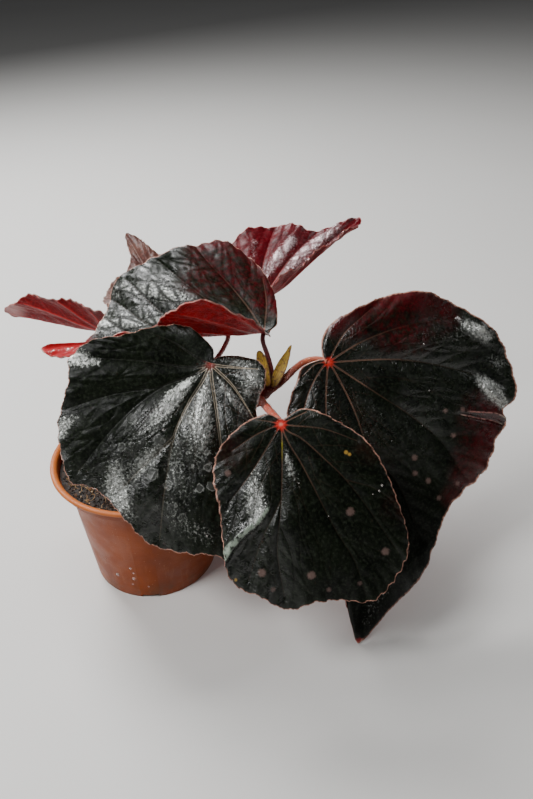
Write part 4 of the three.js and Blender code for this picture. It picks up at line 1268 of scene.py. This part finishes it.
# Pot
def pot():
    collar_bottom = POT_HEIGHT - COLLAR_HEIGHT
    lip_bottom = POT_HEIGHT - LIP_HEIGHT
    floor_top = FOOT_HEIGHT + FLOOR
    curve = LIP_HEIGHT / 2
    lip = [[RIM_RADIUS - curve + curve * math.cos(math.radians(a)),
            POT_HEIGHT - curve + curve * math.sin(math.radians(a))] for a in range(-90, 91, LIP_STEP)]
    profile = [
        [0, 0], [CENTRE_FOOT_RADIUS, 0], [CENTRE_FOOT_RADIUS + 1, FOOT_HEIGHT],
        [BASE_RADIUS - FOOT_WIDTH - 1, FOOT_HEIGHT], [BASE_RADIUS - FOOT_WIDTH, 0],
        [BASE_RADIUS - 1, 0], [BASE_RADIUS - 0.35, 0.25], [BASE_RADIUS, 0.9],
        [BODY_TOP_RADIUS, collar_bottom - 0.6], [BODY_TOP_RADIUS + 0.3, collar_bottom - 0.15],
        [BODY_TOP_RADIUS + 1, collar_bottom], [COLLAR_RADIUS - 2, collar_bottom + 0.3],
        [COLLAR_RADIUS - 1.3, collar_bottom + 0.7], [COLLAR_RADIUS - 1, collar_bottom + 1.4],
        [COLLAR_RADIUS, lip_bottom], *lip,
        [COLLAR_RADIUS + 0.6, POT_HEIGHT - 0.05], [COLLAR_RADIUS - 0.6, POT_HEIGHT - 0.5],
        [COLLAR_RADIUS - WALL, POT_HEIGHT - 1.6],
        [COLLAR_RADIUS - 1 - WALL, collar_bottom + 2.6], [BODY_TOP_RADIUS - WALL, collar_bottom + 1.4],
        [BASE_RADIUS - WALL, floor_top], [0, floor_top],
    ]
    obj = turned("nursery_pot", profile, POT_STEPS)
    for i in range(DRAIN_COUNT):
        angle = 2 * math.pi * (i + 0.5) / DRAIN_COUNT
        place = np.array([DRAIN_RING * math.cos(angle), DRAIN_RING * math.sin(angle), FOOT_HEIGHT]) * MM
        bpy.ops.mesh.primitive_cylinder_add(vertices=DRAIN_SIDES, radius=DRAIN_RADIUS * MM,
                                            depth=4 * FOOT_HEIGHT * MM, location=place)
        cut_away(obj, bpy.context.object)
    for i in range(NOTCH_COUNT):
        angle = 2 * math.pi * i / NOTCH_COUNT - math.pi / 2
        place = np.array([BASE_RADIUS * math.cos(angle), BASE_RADIUS * math.sin(angle), 0]) * MM
        bpy.ops.mesh.primitive_cube_add(size=MM, location=place, rotation=(0, 0, angle),
                                        scale=(3 * FOOT_WIDTH, NOTCH_WIDTH, 2 * FOOT_HEIGHT))
        cut_away(obj, bpy.context.object)
    smooth(obj, 35)
    dress(obj, "pot_plastic", [pot_plastic()], "pot")


def droplets():
    joined = []
    lean = (BODY_TOP_RADIUS - BASE_RADIUS) / (POT_HEIGHT - COLLAR_HEIGHT)
    for degrees, height, radius in DROPLETS:
        wall = BASE_RADIUS + height * lean + radius * 0.25
        angle = math.radians(degrees)
        out = np.array([math.cos(angle), math.sin(angle), -lean])
        DROPS.append((np.array([*wall * out[:2], height]), out, radius))
    for centre, out, radius in DROPS:
        facing = Vector(out).to_track_quat("Z", "Y").to_euler()
        bpy.ops.mesh.primitive_uv_sphere_add(segments=DROP_SEGMENTS, ring_count=DROP_RINGS,
                                             radius=radius * MM, location=centre * MM, rotation=facing,
                                             scale=DROP_SHAPE)
        bpy.ops.object.transform_apply(location=True, rotation=True, scale=True)
        joined.append(bpy.context.object)
    bpy.ops.object.select_all(action="DESELECT")
    for obj in joined:
        obj.select_set(True)
    drops = joined[0]
    bpy.context.view_layer.objects.active = drops
    bpy.ops.object.join()
    drops.name = "water_drops"
    drops.data.transform(drops.matrix_world)
    drops.matrix_world = Matrix.Identity(4)
    smooth(drops, 80)
    dress(drops, "pot_plastic", [water()])


# Soil
def soil_height(x, y):
    share = np.hypot(x, y) / COLLAR_RADIUS
    lumps = np.sin(x / 5.1 + 1) * np.cos(y / 4.3) + np.sin((x + 2 * y) / 7.7)
    return SOIL_LEVEL + SOIL_MOUND * (1 - share * share) + SOIL_LUMP * lumps * (1 - share**6)


def soil():
    top = COLLAR_RADIUS - 1 - WALL - SOIL_GAP
    shoulder = POT_HEIGHT - COLLAR_HEIGHT + 1.4
    floor = FOOT_HEIGHT + FLOOR + SOIL_GAP
    profile = [[0, floor], [BASE_RADIUS - WALL - SOIL_GAP, floor],
               [BODY_TOP_RADIUS - WALL - SOIL_GAP, shoulder + 0.3], [top - 0.6, shoulder + 1.6],
               [top, SOIL_LEVEL]]
    profile += [[top * (1 - k / SOIL_RINGS), SOIL_LEVEL + 0.001] for k in range(1, SOIL_RINGS + 1)]
    obj = turned("potting_soil", profile, SOIL_STEPS)
    for vertex in obj.data.vertices:
        x, y, z = (c / MM for c in vertex.co)
        if z > SOIL_LEVEL:
            rough = SOIL_ROUGHNESS * math.sin(x * 1.9 + math.sin(y * 1.3)) * math.sin(y * 2.1 + x * 0.4)
            vertex.co.z = (soil_height(x, y) + rough * (1 - (math.hypot(x, y) / top) ** 8)) * MM
    smooth(obj, 60)
    dress(obj, "potting_soil", [DARK_SOIL], "soil")


def strewn(limit):
    """A place on the soil, drawn evenly."""
    radius = limit * math.sqrt(dice.uniform(0, 1))
    angle = dice.uniform(0, 2 * math.pi)
    return np.array([radius * math.cos(angle), radius * math.sin(angle)])


def scatter(name, count, sizes, flatness, subdivisions, material, raised=0.25):
    """Lumps of one kind strewn over the soil, each turned and shaped in its own way."""
    bpy.ops.mesh.primitive_ico_sphere_add(subdivisions=subdivisions, radius=1)
    seed = bpy.context.object
    shape = np.array([v.co for v in seed.data.vertices])
    shape_faces = [tuple(p.vertices) for p in seed.data.polygons]
    bpy.data.objects.remove(seed)
    points, faces = [], []
    for _ in range(count):
        x, y = strewn(COLLAR_RADIUS - WALL - LUMPS_FROM_WALL)
        size = dice.uniform(*sizes)
        stretch = np.array([1, dice.uniform(0.6, 1), dice.uniform(*flatness)]) * size
        spin = Matrix.Rotation(dice.uniform(0, 6.3), 3, "Z")
        turn = np.array(spin @ Matrix.Rotation(dice.uniform(-0.6, 0.6), 3, "X"))
        lump = shape * (1 + LUMP_ROUGHNESS * dice.normal(size=(len(shape), 1))) * stretch
        start = len(points)
        points += list(lump @ turn.T + [x, y, soil_height(x, y) + size * raised])
        faces += [tuple(start + v for v in f) for f in shape_faces]
    obj = mesh_piece(name, points, faces)
    smooth(obj, 25)
    dress(obj, "potting_soil", [material])


def soil_fibres():
    points, faces = [], []
    limit = COLLAR_RADIUS - WALL - FIBRES_FROM_WALL
    for _ in range(FIBRES):
        place = strewn(limit)
        heading = dice.uniform(0, 2 * math.pi)
        turn = dice.normal() * 0.35
        thick = dice.uniform(0.09, 0.22)
        rise = dice.uniform(0.2, 1.3)
        start = len(points)
        for k in range(FIBRE_RINGS):
            ahead = np.array([math.cos(heading), math.sin(heading)])
            width = thick * (0.35 if k in (0, FIBRE_RINGS - 1) else 1)
            across = np.array([-ahead[1], ahead[0], 0]) * width
            up = np.array([0, 0, width])
            arch = rise * math.sin(math.pi * k / (FIBRE_RINGS - 1))
            centre = np.array([*place, soil_height(*place) + FIBRE_HEIGHT + arch])
            points += [centre + across, centre + up, centre - across, centre - up]
            if np.hypot(*(place + ahead * FIBRE_STEP)) > limit + 3:
                heading += 2.4
                ahead = np.array([math.cos(heading), math.sin(heading)])
            place = place + ahead * FIBRE_STEP
            heading += turn
        last = start + 4 * (FIBRE_RINGS - 1)
        faces += wall_faces(start, FIBRE_RINGS, 4)
        faces += [(start + 3, start + 2, start + 1, start), (last, last + 1, last + 2, last + 3)]
    obj = mesh_piece("soil_fibres", points, faces)
    face_out(obj)
    smooth(obj, 50)
    dress(obj, "potting_soil", [FIBRE])


pot()
droplets()
soil()
scatter("soil_crumbs", CRUMBS, (0.35, 1.1), (0.5, 0.9), 1, DARK_SOIL)
scatter("bark_chips", BARK_CHIPS, (0.6, 1.7), (0.25, 0.5), 1, BARK)
scatter("pale_granules", GRANULES, (0.3, 0.75), (0.7, 1), 2, GRANULE, raised=0.4)
soil_fibres()


# Floor, light and camera; places and sizes in metres
WORLD_STRENGTH = 0.045
LIGHTS_AIM = Vector((0.06, 0, 0.13))
SOFTBOXES = [
    ("key_softbox", (-0.5, 0.8, 1.05), 0.6, 28),
    ("left_softbox", (-0.6, -0.45, 1.1), 0.45, 17),
    ("right_softbox", (1.2, 0.5, 0.8), 0.6, 3),
]
CAMERA_LENS = 35
SENSOR_HEIGHT = 36
CAMERA_DOWN = math.radians(34.5)
CAMERA_ROLL = math.radians(2.0)
CAMERA_DISTANCE = 0.492
CAMERA_TARGET = Vector((0.0836, 0, 0.1314))


def floor_and_light():
    bpy.ops.mesh.primitive_plane_add(size=12, location=(0, 0, 0))
    floor = bpy.context.object
    floor.name = "floor"
    coat = Coat("pale floor")
    shades = coat.mix(coat.noise(coat.place, 3), (0.62, 0.61, 0.59), (0.66, 0.65, 0.63))
    coat.feed(coat.skin["Base Color"], shades)
    coat.fixed(Roughness=0.75)
    floor.data.materials.append(coat.material)
    world = bpy.data.worlds.new("studio")
    world.use_nodes = True
    sky = world.node_tree.nodes["Background"].inputs
    sky["Color"].default_value = (0.95, 0.97, 1.0, 1)
    sky["Strength"].default_value = WORLD_STRENGTH
    bpy.context.scene.world = world
    for name, place, size, watts in SOFTBOXES:
        lamp = bpy.data.lights.new(name, "AREA")
        lamp.shape = "SQUARE"
        lamp.size = size
        lamp.energy = watts
        obj = bpy.data.objects.new(name, lamp)
        obj.location = place
        obj.rotation_mode = "QUATERNION"
        obj.rotation_quaternion = (LIGHTS_AIM - Vector(place)).to_track_quat("-Z", "Y")
        bpy.context.scene.collection.objects.link(obj)


def camera():
    """A camera that looks down along +Y, with a slight roll."""
    ahead = Vector((0, math.cos(CAMERA_DOWN), -math.sin(CAMERA_DOWN)))
    level = Vector((1, 0, 0))
    upright = level.cross(ahead)
    right = math.cos(CAMERA_ROLL) * level - math.sin(CAMERA_ROLL) * upright
    up = math.sin(CAMERA_ROLL) * level + math.cos(CAMERA_ROLL) * upright
    lens = bpy.data.cameras.new("camera")
    lens.lens = CAMERA_LENS
    lens.sensor_fit = "VERTICAL"
    lens.sensor_height = SENSOR_HEIGHT
    obj = bpy.data.objects.new("camera", lens)
    place = CAMERA_TARGET - CAMERA_DISTANCE * ahead
    obj.matrix_world = Matrix([(right[k], up[k], -ahead[k], place[k]) for k in range(3)] + [(0, 0, 0, 1)])
    bpy.context.scene.collection.objects.link(obj)
    bpy.context.scene.camera = obj


floor_and_light()
camera()
